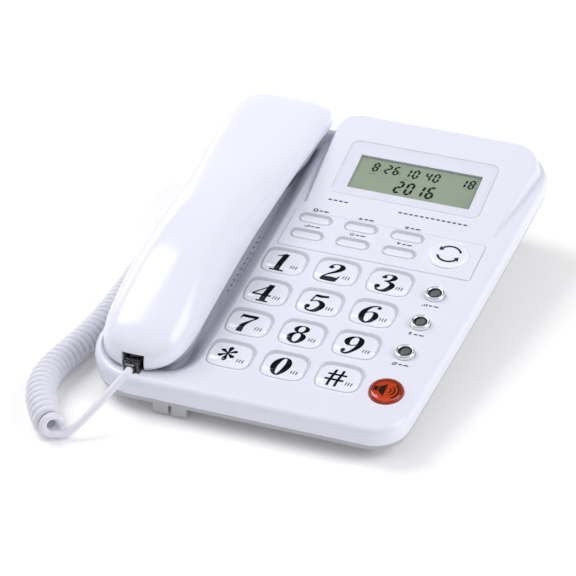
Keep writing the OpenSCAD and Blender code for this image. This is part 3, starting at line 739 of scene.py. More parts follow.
def hood_shape():
    """The hood: it rises out of a small fillet and ends in a rounded upper edge."""
    rings = [hood_ring(-1.7, 0, lambda top: -1.5), hood_ring(-1.7, 0, lambda top: -0.03)]
    for inset, lean, rise in ((-1.0, 0.0, 0.10), (-0.4, 0.1, 0.45), (0.0, 0.2, 1.1), (0.15, 0.5, 2.6)):
        rings.append(hood_ring(inset, lean, lambda top, rise=rise: min(rise, top * (0.2 + rise / 8))))
    for across, down in quarter(6):
        drop = HOOD_EDGE * down
        rings.append(hood_ring(0.2 + 2.4 * across, 1.0,
                               lambda top, drop=drop: top - min(drop, top * 0.45 * drop / HOOD_EDGE)))
    return loft(rings)


# Left, right, front, back and corner radius of the trough at its floor and at the face
TROUGH_FLOOR, TROUGH_MOUTH = (-77.2, -47, -40, 128, 7), (-83.5, -36.5, -54, 138, 17)


def trough_ring(grow, spread, z):
    """Cradle trough: spread runs from 0 at its floor to 1 at the face."""
    x0, x1, y0, y1, r = (lerp(a, b, spread) for a, b in zip(TROUGH_FLOOR, TROUGH_MOUTH))
    return box_ring(x0 - grow, x1 + grow, y0 - grow, y1 + grow, r + grow, z, 10)


TROUGH_WALL = ((0.0, -9.0), (0.10, -8.75), (0.22, -7.9), (0.36, -6.3), (0.50, -4.5), (0.64, -2.9),
               (0.77, -1.6), (0.88, -0.75), (0.97, -0.2), (1.04, -0.02))


def trough_shape(grow, top):
    rings = [trough_ring(grow, spread, z - grow * (1 - spread)) for spread, z in TROUGH_WALL if z < top]
    return loft([*rings, trough_ring(grow, 1.06, top)])


def well_shape(grow):
    """The deeper well in the trough that takes the earpiece cup."""
    rings = []
    for spread, z in ((0.0, -12.6), (0.35, -12.2), (0.75, -11.0), (1.0, -8.8), (1.0, -6.6)):
        rings.append(box_ring(-76.4 - 0.8 * spread - grow, -48.5 + 2.0 * spread + grow,
                              93 - 3 * spread - grow, 128.5 + 2.5 * spread + grow, 8 + grow,
                              z - grow * (1 - spread * 0.9), 8))
    return loft(rings)


def key_rings():
    """Outline of every key as ring_of(offset, z), for the key and for its hole."""
    rings = []
    for name, (x, s) in DIAL_AT.items():
        rings.append((name, lambda o, z, x=x, s=s: oval_ring(x, s, DIAL_W / 2 + o, DIAL_D / 2 + o, 4.0, z)))
    for name, (x, s) in PILL_AT.items():
        rings.append((name, lambda o, z, x=x, s=s: stadium_ring(x, s, PILL_W / 2 + o, PILL_D / 2 + o, z)))
    rounds = [("redial_key", REDIAL_AT, REDIAL_D), ("speaker_key", SPEAKER_AT, SPEAKER_D)]
    rounds += [(name, (OPTION_X, s), OPTION_D) for name, s in zip(OPTION_KEYS, OPTION_S)]
    for name, at, d in rounds:
        rings.append((name, lambda o, z, at=at, d=d: round_ring(at[0], at[1], d / 2 + o, z)))
    return dict(rings)


KEY_RINGS = key_rings()


def hole_cutters(names, edge, depth=5.0):
    return joined(*[flared(lambda o, z, ring=KEY_RINGS[n]: ring(o + KEY_GAP, z), depth, edge) for n in names])


def panel_ring(offset, z):
    x0, x1, s0, s1 = PANEL
    return box_ring(x0 - offset, x1 + offset, s0 - offset, s1 + offset, 1.2 + max(offset, -1), z, 4)


def window_ring(offset, z):
    return box_ring(*around(WINDOW_AT, WINDOW_W, WINDOW_D, offset), 4 + offset, z, 8)


def grille_holes():
    """Two staggered rows of loudspeaker holes in the cradle."""
    centres = [(x, 16.5 + (i + 0.5 * column) * 4)
               for column, x in enumerate((-46.6, -44.2)) for i in range(11)]
    return pegs(centres, 0.62, -14, 14, 16)


def case_block():
    """The case with its hood, hollow from below."""
    rings = [case_ring(inset, -WALL_DEPTH + rise) for inset, rise in ((0.5, 0), (0.12, 0.12), (0, 0.5))]
    rings += [case_ring(3.4 * across, -4.4 * down) for across, down in quarter(9)]
    case = solid("upper_case_shell", loft(rings))
    unite(case, solid("hood", hood_shape()))
    hollow = [hood_ring(4, 0, lambda top: -8.0), hood_ring(4, 0, lambda top: max(-2.6, top - SHELL_T))]
    return cut(case, solid("inside", prism(case_ring(SHELL_T, -WALL_DEPTH - 1), WALL_DEPTH + 1 - SHELL_T)),
               solid("hood_inside", loft(hollow)))


def cradle_tray():
    """The walls around the trough and the well, before both are cut out."""
    tray = solid("tray", trough_shape(2.2, -1.0))
    unite(tray, solid("well_tray", well_shape(2.2)),
          solid("back_tray", box(-85.5, -34.3, 118, 148, -8.2, -1)))
    return combine(tray, "INTERSECT", solid("limit", prism(case_ring(0.6, -20), 19)))


def back_opening():
    """Where the trough runs out through the back of the case."""
    outline = ((-83.5, 12), (-83.5, -3.5), (-82.8, -5.3), (-81, -6), (-39, -6), (-37.2, -5.3), (-36.5, -3.5),
               (-36.5, 12))
    return loft([[(x, s, n) for x, n in outline] for s in (122, 150)])


def plunger_slot():
    """The hook plunger's hole, a little smaller than its collar."""
    low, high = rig.box("hook_plunger")
    x0, x1, y0, y1 = low.x / MM + 1.2, high.x / MM - 1.2, low.y / MM + 1.2, high.y / MM - 1.2
    return prism(box_ring(x0, x1, y0, y1, 1, 12, 4), 30)


def make_upper_case():
    case = unite(case_block(), cradle_tray())
    for name, shape in (("trough", trough_shape(0, 0.4)), ("well", well_shape(0)), ("back", back_opening())):
        cut(case, solid(name, shape))
    cut(case, solid("window", flared(window_ring, 1.5, 0.05), HOOD))
    cut(case, solid("opening", box(*around(LCD_AT, LCD_W, LCD_D, 1.5), -6, 1), HOOD))
    for name, shape in (("panel", flared(panel_ring, 1.0, 0.3)),
                        ("dial_holes", hole_cutters([*DIAL_KEYS, *OPTION_KEYS, "speaker_key"], 0.12)),
                        ("panel_holes", hole_cutters([*PILL_KEYS, "redial_key"], 0.2)),
                        ("grille", grille_holes())):
        cut(case, solid(name, shape))
    cut(case, solid("slot", plunger_slot(), DESK))
    dressed(shaded(case), SHELL, "base", "white_shell", ["upper_case", "cradle_tray"])


make_upper_case()


# ---- Lower case ----
def make_lower_case():
    tub = solid("lower_case_shell",
                round_edged(lambda i, z: box_ring(-74 + i, 60 - i, -88 + i, 98 - i, 10 - i, z, 8),
                            FOOT_H, 62, 1.6, 0.1), DESK)
    combine(tub, "INTERSECT", solid("below", box(-150, 150, -150, 250, -110, -WALL_DEPTH)))
    rim = round_edged(lambda i, z: case_ring(0.8 + i, z), -WALL_DEPTH - RIM_H, -WALL_DEPTH - 0.02, 0.7, 0.25)
    tabs = [round_edged(lambda i, z, x=x: box_ring(x + i, x + 7.4 - i, -98.6 + i, -95, 0.8, z, 3),
                        1.4, 6.6, 0.4, 0.2) for x in (-43.5, -34.8)]
    unite(tub, solid("rim", rim))
    unite(tub, solid("tabs", joined(*tabs), DESK))
    inside = solid("inside", prism(box_ring(-72, 58, -86, 96, 8, FOOT_H + 2, 8), 60), DESK)
    cut(inside, solid("posts", pegs(BACK_SCREWS, 4, 0, 20, 32), DESK))
    cut(tub, inside)
    cut(tub, solid("rim_inside", prism(case_ring(3.2, -WALL_DEPTH - RIM_H + 2), 30)))
    vents = [prism(box_ring(-60 + 6 * i, -57.6 + 6 * i, -40, -10, 1.2, 0, 6), 6) for i in range(-3, 4)]
    cut(tub, solid("vents", joined(*vents), DESK))
    cut(tub, solid("front_screw_holes", pegs(FRONT_SCREWS, 1.65, -20, 20)))
    for name, shape in (("back_screw_wide", pegs(BACK_SCREWS, 3.3, -1, 15, 32)),
                        ("back_screw_holes", pegs(BACK_SCREWS, 1.65, 12, 20)),
                        ("foot_seats", pegs(FEET, 6.1, -1, FOOT_H + 1.8, 40)),
                        ("cord_hole", box(-76, -71, 55.05, 64.95, 6.65, 15.35)),
                        ("line_hole", box(13.7, 26.3, 94, 102, 12.1, 21.9))):
        cut(tub, solid(name, shape, DESK))
    dressed(shaded(tub), UNDER_WHITE, "base", "grey_white_shell", ["lower_case"])


make_lower_case()


# ---- Function panel ----
PANEL_TOP = 0.12


def make_function_panel():
    panel = solid("function_panel_strip",
                  round_edged(lambda i, z: panel_ring(-0.2 - i, z), -0.97, PANEL_TOP, 0.05, 0.3))
    holes = moved(hole_cutters([*PILL_KEYS, "redial_key"], 0.3), lambda x, y, z: (x, y, z + PANEL_TOP))
    cut(panel, solid("panel_holes", holes))
    dressed(shaded(panel), PANEL_WHITE, "base", "panel_white", ["function_panel"])


make_function_panel()


# ---- Marks: flat shapes raised a few hundredths above what they are printed on ----
def stroke(points, bottom, top):
    """Prism along (x, y, width) points; the sides follow the width."""
    left, right = [], []
    for i, (x, y, w) in enumerate(points):
        ax, ay, _ = points[max(i - 1, 0)]
        bx, by, _ = points[min(i + 1, len(points) - 1)]
        length = math.hypot(bx - ax, by - ay)
        nx, ny = -(by - ay) / length * w / 2, (bx - ax) / length * w / 2
        left.append((x + nx, y + ny))
        right.append((x - nx, y - ny))
    return loft([[(x, y, z) for x, y in left + right[::-1]] for z in (bottom, top)])


def curve(points, n=8):
    """Smooth (x, y, width) points through the given ones."""
    return [tuple(p) for p in through(points, n)]


def disc(x, y, r, n=24):
    """The outline of a round spot."""
    return [(px, py) for px, py, _ in round_ring(x, y, r, 0, n)]


def plate(outline, bottom, top):
    return loft([[(x, y, z) for x, y in outline] for z in (bottom, top)])


def annulus(cx, cy, rx, ry, thick, thin, bottom, top, n=40):
    """An upright oval ring, thick at its sides and thin at its ends."""
    outer, inner = (rx, ry), (rx - thick, ry - thin)
    rings = [oval_ring(cx, cy, *size, 2, z, n)
             for size, z in ((outer, bottom), (outer, top), (inner, top), (inner, bottom))]
    return loft([*rings, rings[0]], False, False)


SIX = [(0.53, 0.93, 0.05), (0.40, 0.97, 0.06), (0.24, 0.87, 0.10), (0.13, 0.64, 0.16), (0.11, 0.38, 0.19),
       (0.16, 0.15, 0.16), (0.28, 0.03, 0.07), (0.38, 0.03, 0.06), (0.50, 0.13, 0.14), (0.55, 0.31, 0.19),
       (0.49, 0.50, 0.14), (0.38, 0.57, 0.06), (0.24, 0.52, 0.05), (0.14, 0.42, 0.05)]
BOWL = [(0.54, 0.23, 0.19), (0.43, 0.08, 0.14), (0.28, 0.03, 0.06), (0.13, 0.07, 0.06), (0.08, 0.19, 0.06)]
# Strokes of each character in a cell 0.62 wide and 1 high, as (x, y, width) points
STROKES = {
    "1": [[(0.33, 0.02, 0.19), (0.33, 0.97, 0.19)],
          [(0.08, 0.80, 0.05), (0.22, 0.86, 0.07), (0.36, 0.97, 0.10)],
          [(0.10, 0.025, 0.05), (0.56, 0.025, 0.05)]],
    "2": [curve([(0.12, 0.74, 0.06), (0.16, 0.90, 0.06), (0.31, 0.97, 0.06), (0.46, 0.90, 0.14),
                 (0.51, 0.74, 0.19), (0.42, 0.54, 0.15), (0.26, 0.36, 0.09), (0.10, 0.17, 0.06),
                 (0.05, 0.04, 0.05)]),
          [(0.05, 0.09, 0.15), (0.34, 0.09, 0.19), (0.55, 0.09, 0.16)],
          [(0.54, 0.06, 0.06), (0.60, 0.26, 0.05)]],
    "3": [curve([(0.12, 0.78, 0.06), (0.18, 0.93, 0.06), (0.32, 0.97, 0.06), (0.45, 0.89, 0.14),
                 (0.47, 0.75, 0.18), (0.38, 0.60, 0.10), (0.23, 0.54, 0.05)]),
          curve([(0.23, 0.54, 0.05), (0.42, 0.50, 0.09), (0.54, 0.38, 0.17), *BOWL])],
    "4": [[(0.43, 0.02, 0.19), (0.43, 0.97, 0.19)], [(0.46, 0.97, 0.06), (0.03, 0.30, 0.06)],
          [(0.02, 0.29, 0.08), (0.63, 0.29, 0.08)], [(0.24, 0.025, 0.05), (0.62, 0.025, 0.05)]],
    "5": [[(0.14, 0.90, 0.14), (0.36, 0.88, 0.16), (0.56, 0.93, 0.12)],
          [(0.15, 0.95, 0.05), (0.12, 0.48, 0.05)],
          curve([(0.12, 0.49, 0.05), (0.26, 0.58, 0.06), (0.42, 0.55, 0.13), (0.54, 0.40, 0.18), *BOWL])],
    "6": [curve(SIX)],
    "7": [[(0.06, 0.89, 0.15), (0.32, 0.88, 0.17), (0.58, 0.89, 0.15)],
          [(0.07, 0.96, 0.05), (0.06, 0.72, 0.05)],
          curve([(0.56, 0.86, 0.06), (0.41, 0.60, 0.09), (0.29, 0.34, 0.16), (0.27, 0.02, 0.20)])],
    "8": [],
    "9": [curve([(0.62 - x, 1 - y, w) for x, y, w in SIX])],
    "0": [],
    "*": [curve([(0.31, 0.55, 0.03), (0.31 + 0.14 * math.cos(a), 0.55 + 0.20 * math.sin(a), 0.10),
                 (0.31 + 0.24 * math.cos(a), 0.55 + 0.34 * math.sin(a), 0.15),
                 (0.31 + 0.29 * math.cos(a), 0.55 + 0.41 * math.sin(a), 0.04)], 5)
          for a in (math.radians(90 + 60 * i) for i in range(6))],
    "#": [[(x, 0.04, 0.085), (x, 0.93, 0.085)] for x in (0.20, 0.44)]
         + [[(0.02, y, 0.10), (0.62, y, 0.10)] for y in (0.34, 0.64)],
}
SPOTS = {"2": [(0.155, 0.74, 0.085)], "3": [(0.155, 0.78, 0.085), (0.12, 0.20, 0.09)],
         "5": [(0.12, 0.20, 0.09)],
         "6": [(0.49, 0.86, 0.07)], "9": [(0.13, 0.14, 0.07)]}
OVALS = {"8": [(0.31, 0.755, 0.21, 0.23, 0.125, 0.05), (0.31, 0.275, 0.255, 0.275, 0.155, 0.055)],
         "0": [(0.31, 0.50, 0.26, 0.49, 0.18, 0.045)]}


def glyph(name, character, at, width, height, bottom, top, slant, body):
    """One printed character on the face, made as one solid, its middle at the given place."""
    def put(x, y, z):
        return (at[0] + (x - 0.31) * width / 0.62 + (y - 0.5) * height * slant, at[1] + (y - 0.5) * height, z)
    parts = [stroke(s, bottom, top) for s in STROKES[character]]
    parts += [plate(disc(*spot), bottom, top) for spot in SPOTS.get(character, [])]
    parts += [annulus(*oval, bottom, top) for oval in OVALS.get(character, [])]
    return dressed(united(name, [moved(part, put) for part in parts]), KEY_INK, body, "clear_key")


# ---- Keys ----
def dome_rings(ring, bottom, profile):
    return loft([ring(0, bottom), *[ring(-inset, z) for inset, z in profile]])


def clear_cap(name, bottom, profile, slot, material=CLEAR):
    """A key's clear cap, which stands for its CAD node."""
    cap = solid(name + "_cap", dome_rings(KEY_RINGS[name], bottom, profile))
    shaded(cap, 45, weighted=False)
    cap.visible_shadow = False
    dressed(cap, material, name, slot, [name])


def key_insert(name, cap_bottom, top, inset, edge, slot, material):
    """The body of a key: a flange under the case, and a neck that is moulded into the clear cap."""
    ring, neck = KEY_RINGS[name], cap_bottom - 0.03
    rings = [ring(0.9, -4), ring(0.9, -2.85), ring(0, -2.8), ring(0, neck), ring(-inset, neck),
             ring(-inset, top - edge), ring(-inset - edge * 0.3, top - edge * 0.3), ring(-inset - edge, top)]
    dressed(shaded(solid(name + "_insert", loft(rings)), 40), material, name, slot)


def key_plate(name, part, bottom, top, inset, shift, slot, material=INSERT_WHITE):
    """The plate inside a clear cap, nearer to the key's front edge, so that more of the insert under it shows along
    the back edge.
    """
    def plate_ring(i, z):
        return [(x, y - shift, z) for x, y, z in KEY_RINGS[name](-inset - i, z)]
    piece = solid(f"{name}_{part}", round_edged(plate_ring, bottom, top, 0.03, 0.25))
    dressed(shaded(piece, 40), material, name, slot)


DIAL_PROFILE = ((0, 0.65), (0.08, 1.03), (0.28, 1.42), (0.66, 1.78), (1.22, 2.10), (2.0, 2.34), (3.0, 2.49),
                (4.3, 2.57), (5.8, 2.60), (7.6, 2.60))


def make_dial_keys():
    for character, (name, (x, s)) in zip("123456789*0#", DIAL_AT.items()):
        clear_cap(name, -0.4, DIAL_PROFILE, "clear_key")
        # The grey insert shows past the plate, which sits nearer the front, as a band of painted shade along the key's
        # back edge.
        key_insert(name, -0.4, -0.2, 0.4, 0.05, "clear_key", KEY_PAINTED_SHADE_GREY)
        key_plate(name, "plate", -0.22, 0.1, 1.45, 1.15, "clear_key")
        ticks = [stroke([(x + 4.2 + 1.15 * i, s - 4.7, 0.42), (x + 4.6 + 1.15 * i, s - 3.0, 0.42)],
                        0.07, 0.13) for i in range(3)]
        dressed(solid(name + "_ticks", joined(*ticks)), GREY_INK, name, "clear_key")
        width = 10.2 if character in "80" else 8.8
        glyph(name + "_mark", character, (x - 1.2, s - 1.3), width, 10.6, 0.07, 0.15, 0.16, name)


PILL_PROFILE = ((0, 0.25), (0.08, 0.52), (0.28, 0.80), (0.62, 1.02), (1.1, 1.15), (1.8, 1.2), (2.6, 1.2))


def make_pill_keys():
    for name in PILL_KEYS:
        clear_cap(name, -0.7, PILL_PROFILE, "small_key")
        key_insert(name, -0.7, -0.4, 0.5, 0.1, "small_key", PILL_GREY)
        key_plate(name, "stripe", -0.42, -0.1, 1.55, 0.65, "small_key")


def arrow_arc(cx, cy, r, start, sweep, width, bottom, top):
    """A bent arrow on a circle: an arc with a pointed head."""
    def on_circle(radius, angle):
        return cx + radius * math.cos(angle), cy + radius * math.sin(angle)
    n = 24
    angles = [math.radians(start + sweep * i / n) for i in range(n + 1)]
    shaft = stroke([(*on_circle(r, a), width) for a in angles], bottom, top)
    end, turn = angles[-1], math.copysign(1, sweep)
    tip = on_circle(r, end + turn * 0.42)
    base = [on_circle(r + k * width * 1.5, end - turn * 0.02) for k in (1, -1)]
    return shaft, plate([tip, *base], bottom, top)


REDIAL_PROFILE = ((0, 0.6), (0.12, 0.95), (0.45, 1.3), (1.0, 1.6), (1.8, 1.82), (3.0, 1.95), (4.6, 2.0),
                  (6.6, 2.0), (8.4, 2.0))


def make_redial_key():
    name = "redial_key"
    clear_cap(name, -0.5, REDIAL_PROFILE, "small_key")
    key_insert(name, -0.5, 0.1, 0.8, 0.25, "small_key", INSERT_WHITE)
    arrows = []
    for start in (20, 200):
        arrows += arrow_arc(*REDIAL_AT, 5.2, start, 122, 1.0, 0.08, 0.16)
    dressed(united(name + "_arrows", arrows), INK, name, "small_key")


def turned(x, s, profile, n=64):
    """A round piece square to the face from (radius, z) points."""
    return loft([round_ring(x, s, r, z, n) for r, z in profile])


def make_option_keys():
    x, r = OPTION_X, OPTION_D / 2
    rim = [(r + 0.9, -4), (r + 0.9, -2.85), (r, -2.8), (r, 1.1), (r - 0.08, 1.5), (r - 0.3, 1.85),
           (r - 0.6, 2.0), (r - 0.85, 1.98), (r - 1.25, 1.72), (r - 1.45, 1.45), (r - 1.5, 1.2), (0.05, 1.2)]
    dish = [(r - 1.6, 1.15), (r - 1.55, 1.62), (r - 1.75, 1.72), (r - 2.1, 1.66), (r - 2.7, 1.5),
            (r - 3.4, 1.42), (0.05, 1.4)]
    spot = [(2.15, 1.3), (2.15, 1.60), (2.0, 1.68), (1.5, 1.72), (0.8, 1.75), (0.05, 1.76)]
    for name, s in zip(OPTION_KEYS, OPTION_S):
        ring = shaded(solid(name + "_ring", turned(x, s, rim)), 40)
        dressed(ring, BRIGHT_RING, name, "small_key", [name])
        dressed(shaded(solid(name + "_dish", turned(x, s, dish)), 40, False), INK, name, "small_key")
        # The smoke centre sits off the middle, towards the lower right, so that the black dish shows as a crescent at
        # the upper left: painted shadow inside the dish.
        centre = solid(name + "_spot", turned(x + 0.42, s - 0.42, spot, 40))
        dressed(shaded(centre, 40, False), SMOKE, name, "small_key")


SPEAKER_PROFILE = ((0, 0.8), (0.10, 1.2), (0.40, 1.6), (0.95, 1.95), (1.8, 2.2), (3.0, 2.34), (4.6, 2.4),
                   (6.9, 2.4))
ICON_SCALE = 1.22


def make_speaker_key():
    name, (x, s) = "speaker_key", SPEAKER_AT
    clear_cap(name, -0.5, SPEAKER_PROFILE, "orange_key", ORANGE_CLEAR)
    key_insert(name, -0.5, 0.2, 0.8, 0.25, "orange_key", ORANGE_RIM)
    key_plate(name, "plate", 0.18, 0.42, 1.9, 0.45, "orange_key", ORANGE)
    low, high = 0.39, 0.49
    magnet = [(x - 4.4, s - 1.1), (x - 2.9, s - 1.1), (x - 2.9, s + 1.1), (x - 4.4, s + 1.1)]
    cone = [(x - 2.6, s - 1.2), (x - 0.2, s - 3.2), (x - 0.2, s + 3.2), (x - 2.6, s + 1.2)]
    parts = [plate(outline, low, high) for outline in (magnet, cone)]
    for r in (1.3, 2.6, 3.9):
        waves = [(x + 0.4 + r * math.cos(a), s + r * math.sin(a), 0.5)
                 for a in (math.radians(-55 + 110 * i / 14) for i in range(15))]
        parts.append(stroke(waves, low, high))
    parts = [moved(part, lambda px, py, pz: (x + (px - x) * ICON_SCALE, s + (py - s) * ICON_SCALE, pz))
             for part in parts]
    dressed(united(name + "_icon", parts), INK, name, "orange_key")


make_dial_keys()
make_pill_keys()
make_redial_key()
make_option_keys()
make_speaker_key()


# ---- Plain generic marks where the legends are ----
def icon(kind, low, high):
    """A small sign about 2 mm high around the origin."""
    def bar(x0, y0, x1, y1, w=0.45):
        return stroke([(x0, y0, w), (x1, y1, w)], low, high)

    def ring(w):
        return annulus(0, 0, 1.05, 1.05, w, w, low, high, 24)
    if kind == "up":
        return [plate([(-1.1, -0.7), (1.1, -0.7), (0, 0.9)], low, high)]
    if kind == "down":
        return [plate([(-1.1, 0.7), (0, -0.9), (1.1, 0.7)], low, high)]
    if kind == "cross":
        return [bar(-0.85, -0.85, 0.85, 0.85), bar(-0.85, 0.85, 0.85, -0.85)]
    if kind == "frame":
        return [bar(-1, -0.9, 1, -0.9), bar(-1, 0.9, 1, 0.9), bar(-0.8, -1.1, -0.8, 1.1),
                bar(0.8, -1.1, 0.8, 1.1)]
    if kind == "ring":
        return [ring(0.4)]
    if kind == "bolt":
        return [plate([(-0.3, 1.2), (0.7, 1.2), (0.2, 0.25), (0.8, 0.25), (-0.5, -1.3), (-0.1, -0.2),
                       (-0.7, -0.2)], low, high)]
    if kind == "steps":
        return [bar(-1, -0.9, -1, -0.2, 0.55), bar(0, -0.9, 0, 0.4, 0.55), bar(1, -0.9, 1, 1.0, 0.55)]
    return [ring(0.36), bar(-1.1, -1.1, 1.1, 1.1, 0.4)]


def legend(name, kind, at, base):
    """A small sign and two dashes, standing in for a printed legend."""
    low, high = base - 0.03, base + 0.03
    shapes = icon(kind, low, high) + [stroke([(x0, 0, 0.75), (x1, 0, 0.75)], low, high)
                                      for x0, x1 in ((1.9, 3.6), (4.3, 6.6))]
    scale = 0.95
    placed = moved(joined(*shapes), lambda x, y, z: (at[0] + (x - 2.4) * scale, at[1] + y * scale, z))
    dressed(solid(name, placed), GREY_INK, "base", "panel_white")


def make_legends():
    signs = ("frame", "up", "cross", "steps", "ring", "down")
    for sign, (name, (x, s)) in zip(signs, PILL_AT.items()):
        legend(f"legend_{name}", sign, (x, s + (6.3 if s == PILL_S[0] else 6.0)), PANEL_TOP)
    for name, sign, s in zip(OPTION_KEYS, ("steps", "bolt", "barred"), OPTION_S):
        legend(f"legend_{name}", sign, (OPTION_X, s - 7.4), 0.0)
    for name, x, count in (("short", -21.5, 4), ("long", 12.5, 13)):
        dashes = [stroke([(x + 2.6 * i, 6.0, 0.8), (x + 2.6 * i + 1.7, 6.0, 0.8)], -0.03, 0.03)
                  for i in range(count)]
        dressed(solid(f"{name}_mark_row", joined(*dashes), HOOD), GREY_INK, "base", "white_shell")


make_legends()


# ---- Display ----
SEGMENTS = {"0": "abcdef", "1": "bc", "2": "abged", "3": "abgcd", "4": "fgbc", "5": "afgcd", "6": "afgedc",
            "7": "abc", "8": "abcdefg", "9": "abfgcd"}


def segment_outline(kind, w, h, t):
    """One six-sided bar of a seven-segment digit."""
    gap = 0.09
    across = {"a": h, "g": h / 2, "d": 0.0}
    if kind in across:
        y = min(max(across[kind], t / 2), h - t / 2)
        x0, x1 = t / 2 + gap, w - t / 2 - gap
        return [(x0, y), (x0 + t / 2, y + t / 2), (x1 - t / 2, y + t / 2), (x1, y), (x1 - t / 2, y - t / 2),
                (x0 + t / 2, y - t / 2)]
    x = t / 2 if kind in "ef" else w - t / 2
    y0, y1 = (h / 2 + gap, h - t / 2 - gap) if kind in "bf" else (t / 2 + gap, h / 2 - gap)
    return [(x, y0), (x + t / 2, y0 + t / 2), (x + t / 2, y1 - t / 2), (x, y1), (x - t / 2, y1 - t / 2),
            (x - t / 2, y0 + t / 2)]


def digits(text, at, w, h, t, step, low, high):
    """Seven-segment digits, leaning."""
    shapes, x = [], at[0]
    for character in text:
        for kind in SEGMENTS[character]:
            outline = [(x + px + py * 0.13, at[1] + py) for px, py in segment_outline(kind, w, h, t)]
            shapes.append(plate(outline, low, high))
        x += step
    return shapes


LCD_TOP = -1.56


def make_display():
    mask = solid("window_mask", loft([window_ring(-0.03, z) for z in (-1.49, -0.42)]), HOOD)
    cut(mask, solid("view", box(*around(LCD_AT, LCD_W, LCD_D), -3, 1), HOOD))
    # The mask takes the darkened white, painted shade under the lens.
    dressed(shaded(mask), MASK_PAINTED_SHADE_WHITE, "base", "panel_white")
    lens = solid("window_lens", round_edged(lambda i, z: window_ring(-0.03 - i, z), -0.40, 0.04, 0.03, 0.07),
                 HOOD)
    dressed(shaded(lens, 45), LENS, "base", "clear_window", ["display_window"])
    lens.visible_shadow = False
    glass = solid("lcd_screen", box(*around(LCD_AT, LCD_W, LCD_D, 1.2), -4.4, LCD_TOP), HOOD)
    dressed(bevelled(glass, 0.15, 2), LCD_GLASS, "base", "lcd_glass", ["lcd_panel"])
    low, high = LCD_TOP - 0.03, LCD_TOP + 0.03
    left, _, bottom, _ = around(LCD_AT, LCD_W, LCD_D)
    shapes = digits("2016", (left + 20.8, bottom + 2.6), 3.9, 8.2, 1.25, 5.1, low, high)
    for text, along_row in (("8", 7.0), ("26", 13.0), ("10", 22.5), ("40", 32.5), ("18", 49.6)):
        shapes += digits(text, (left + along_row, bottom + 13.6), 3.0, 6.0, 0.98, 4.0, low, high)
    dressed(solid("lcd_digits", joined(*shapes), HOOD), LCD_INK, "base", "lcd_glass")
    small = [stroke([(left + dx, bottom + dy, 0.7), (left + dx + 1.0, bottom + dy, 0.7)], low, high)
             for dx, dy in ((11.4, 14.8), (20.4, 14.8), (6.6, 12.1), (8.0, 12.1), (9.4, 12.1), (23.6, 12.1),
                            (25.0, 12.1), (26.4, 12.1))]
    dressed(solid("lcd_small_marks", joined(*small), HOOD), LCD_FAINT, "base", "lcd_glass")


make_display()


# ---- Handset ----
def seam_lift(s):
    """The seam's rise towards the earpiece, taken from the shell above and given to the one below."""
    return 3.4 * smoothstep((s - 45) / 50) * (1 - 0.6 * smoothstep((s - 105) / 28))


def seam(s):
    return 8 - (0.00083 if s < 25 else 0.00055) * (s - 25) ** 2 + seam_lift(s)


def along(s):
    return min(max((s - HANDSET_MID) / (HANDSET_L / 2), -1.0), 1.0)


def end_power(s):
    return 30 if s > HANDSET_MID else 10


def towards_ear(s):
    return smoothstep((s - 35) / 75)


def mid_x(s):
    return HANDSET_X + 0.7 * towards_ear(s)


def half_width(s):
    return (HANDSET_W / 2 + EAR_FLARE * towards_ear(s)) * (1 - abs(along(s)) ** end_power(s)) ** 0.4


def crown(s):
    bulge = math.cos(math.pi / 2 * (s - 18) / 85) ** 2 if abs(s - 18) < 85 else 0.0
    height = EAR_H + (GRIP_H - EAR_H) * bulge - 0.000168 * max(s - 25, 0) ** 2 - seam_lift(s)
    return height * math.sqrt(1 - abs(along(s)) ** (end_power(s) + 2))


def squareness(s):
    return 0.77 - 0.19 * towards_ear(s)


def stations(shrink, n=44, last=88.6):
    """Places along the handset, closer together towards its ends."""
    return [HANDSET_MID + (HANDSET_L / 2 - shrink) * math.sin(math.radians(last * i / n))
            for i in range(-n, n + 1)]


def dome_ring(s, w, h, bottom, top, n=44, edge=0.0):
    """Section of the outer shell: a flat-sided arch over a short upright edge."""
    e, x = squareness(s), mid_x(s)
    ring = [(x + w * power(math.cos(math.pi * (1 - i / n)), e), s,
             top + h * max(math.sin(math.pi * i / n), 0) ** e) for i in range(n + 1)]
    if edge:
        return ring + [(x + w, s, bottom + edge), (x + w - 0.3 * edge, s, bottom + 0.3 * edge),
                       (x + w - edge, s, bottom), (x - w + edge, s, bottom),
                       (x - w + 0.3 * edge, s, bottom + 0.3 * edge), (x - w, s, bottom + edge)]
    return ring + [(x + w, s, bottom), (x - w, s, bottom)]


def notch():
    return box(HANDSET_X - 5.2, HANDSET_X + 5.2, -60, -42.5, JACK_N - 4.6, JACK_N + 4.8)


def screw_hole(d, s, bottom, top):
    return prism(round_ring(HANDSET_X, s, d / 2, bottom, 28), top - bottom)


SCREW_S = (6, 76)


def make_outer_shell():
    shell = solid("handset_outer", loft([
        dome_ring(s, half_width(s), crown(s), seam(s), seam(s) + 0.35, edge=0.3) for s in stations(0)]))
    hollow = loft([
        dome_ring(s, max(half_width(s) - 2, 0.5), max(crown(s) - 2, 1), seam(s) - 1, seam(s) + 0.01)
        for s in stations(2.5, 30, 84)])
    cut(shell, solid("hollow", hollow))
    unite(shell, *[solid("boss", screw_hole(6, s, seam(s) + 0.2, seam(s) + crown(s) - 1)) for s in SCREW_S])
    cut(shell, solid("notch", notch()), *[solid("hole", screw_hole(3, s, -10, 16)) for s in SCREW_S])
    dressed(shaded(shell, 40), HANDSET_WHITE, "handset", "white_shell", ["handset_outer_shell"])


def keel_ring(s, w, top, drop, n=26):
    """Section of the inner shell, flat on top and rounded below."""
    base, x = seam(s) - 0.1, mid_x(s)
    ring = [(x - w * power(math.cos(math.pi * i / n), 0.9), s,
             base - drop * max(math.sin(math.pi * i / n), 0) ** 0.8) for i in range(n + 1)]
    return [*ring, (x + w, s, top), (x - w, s, top)]


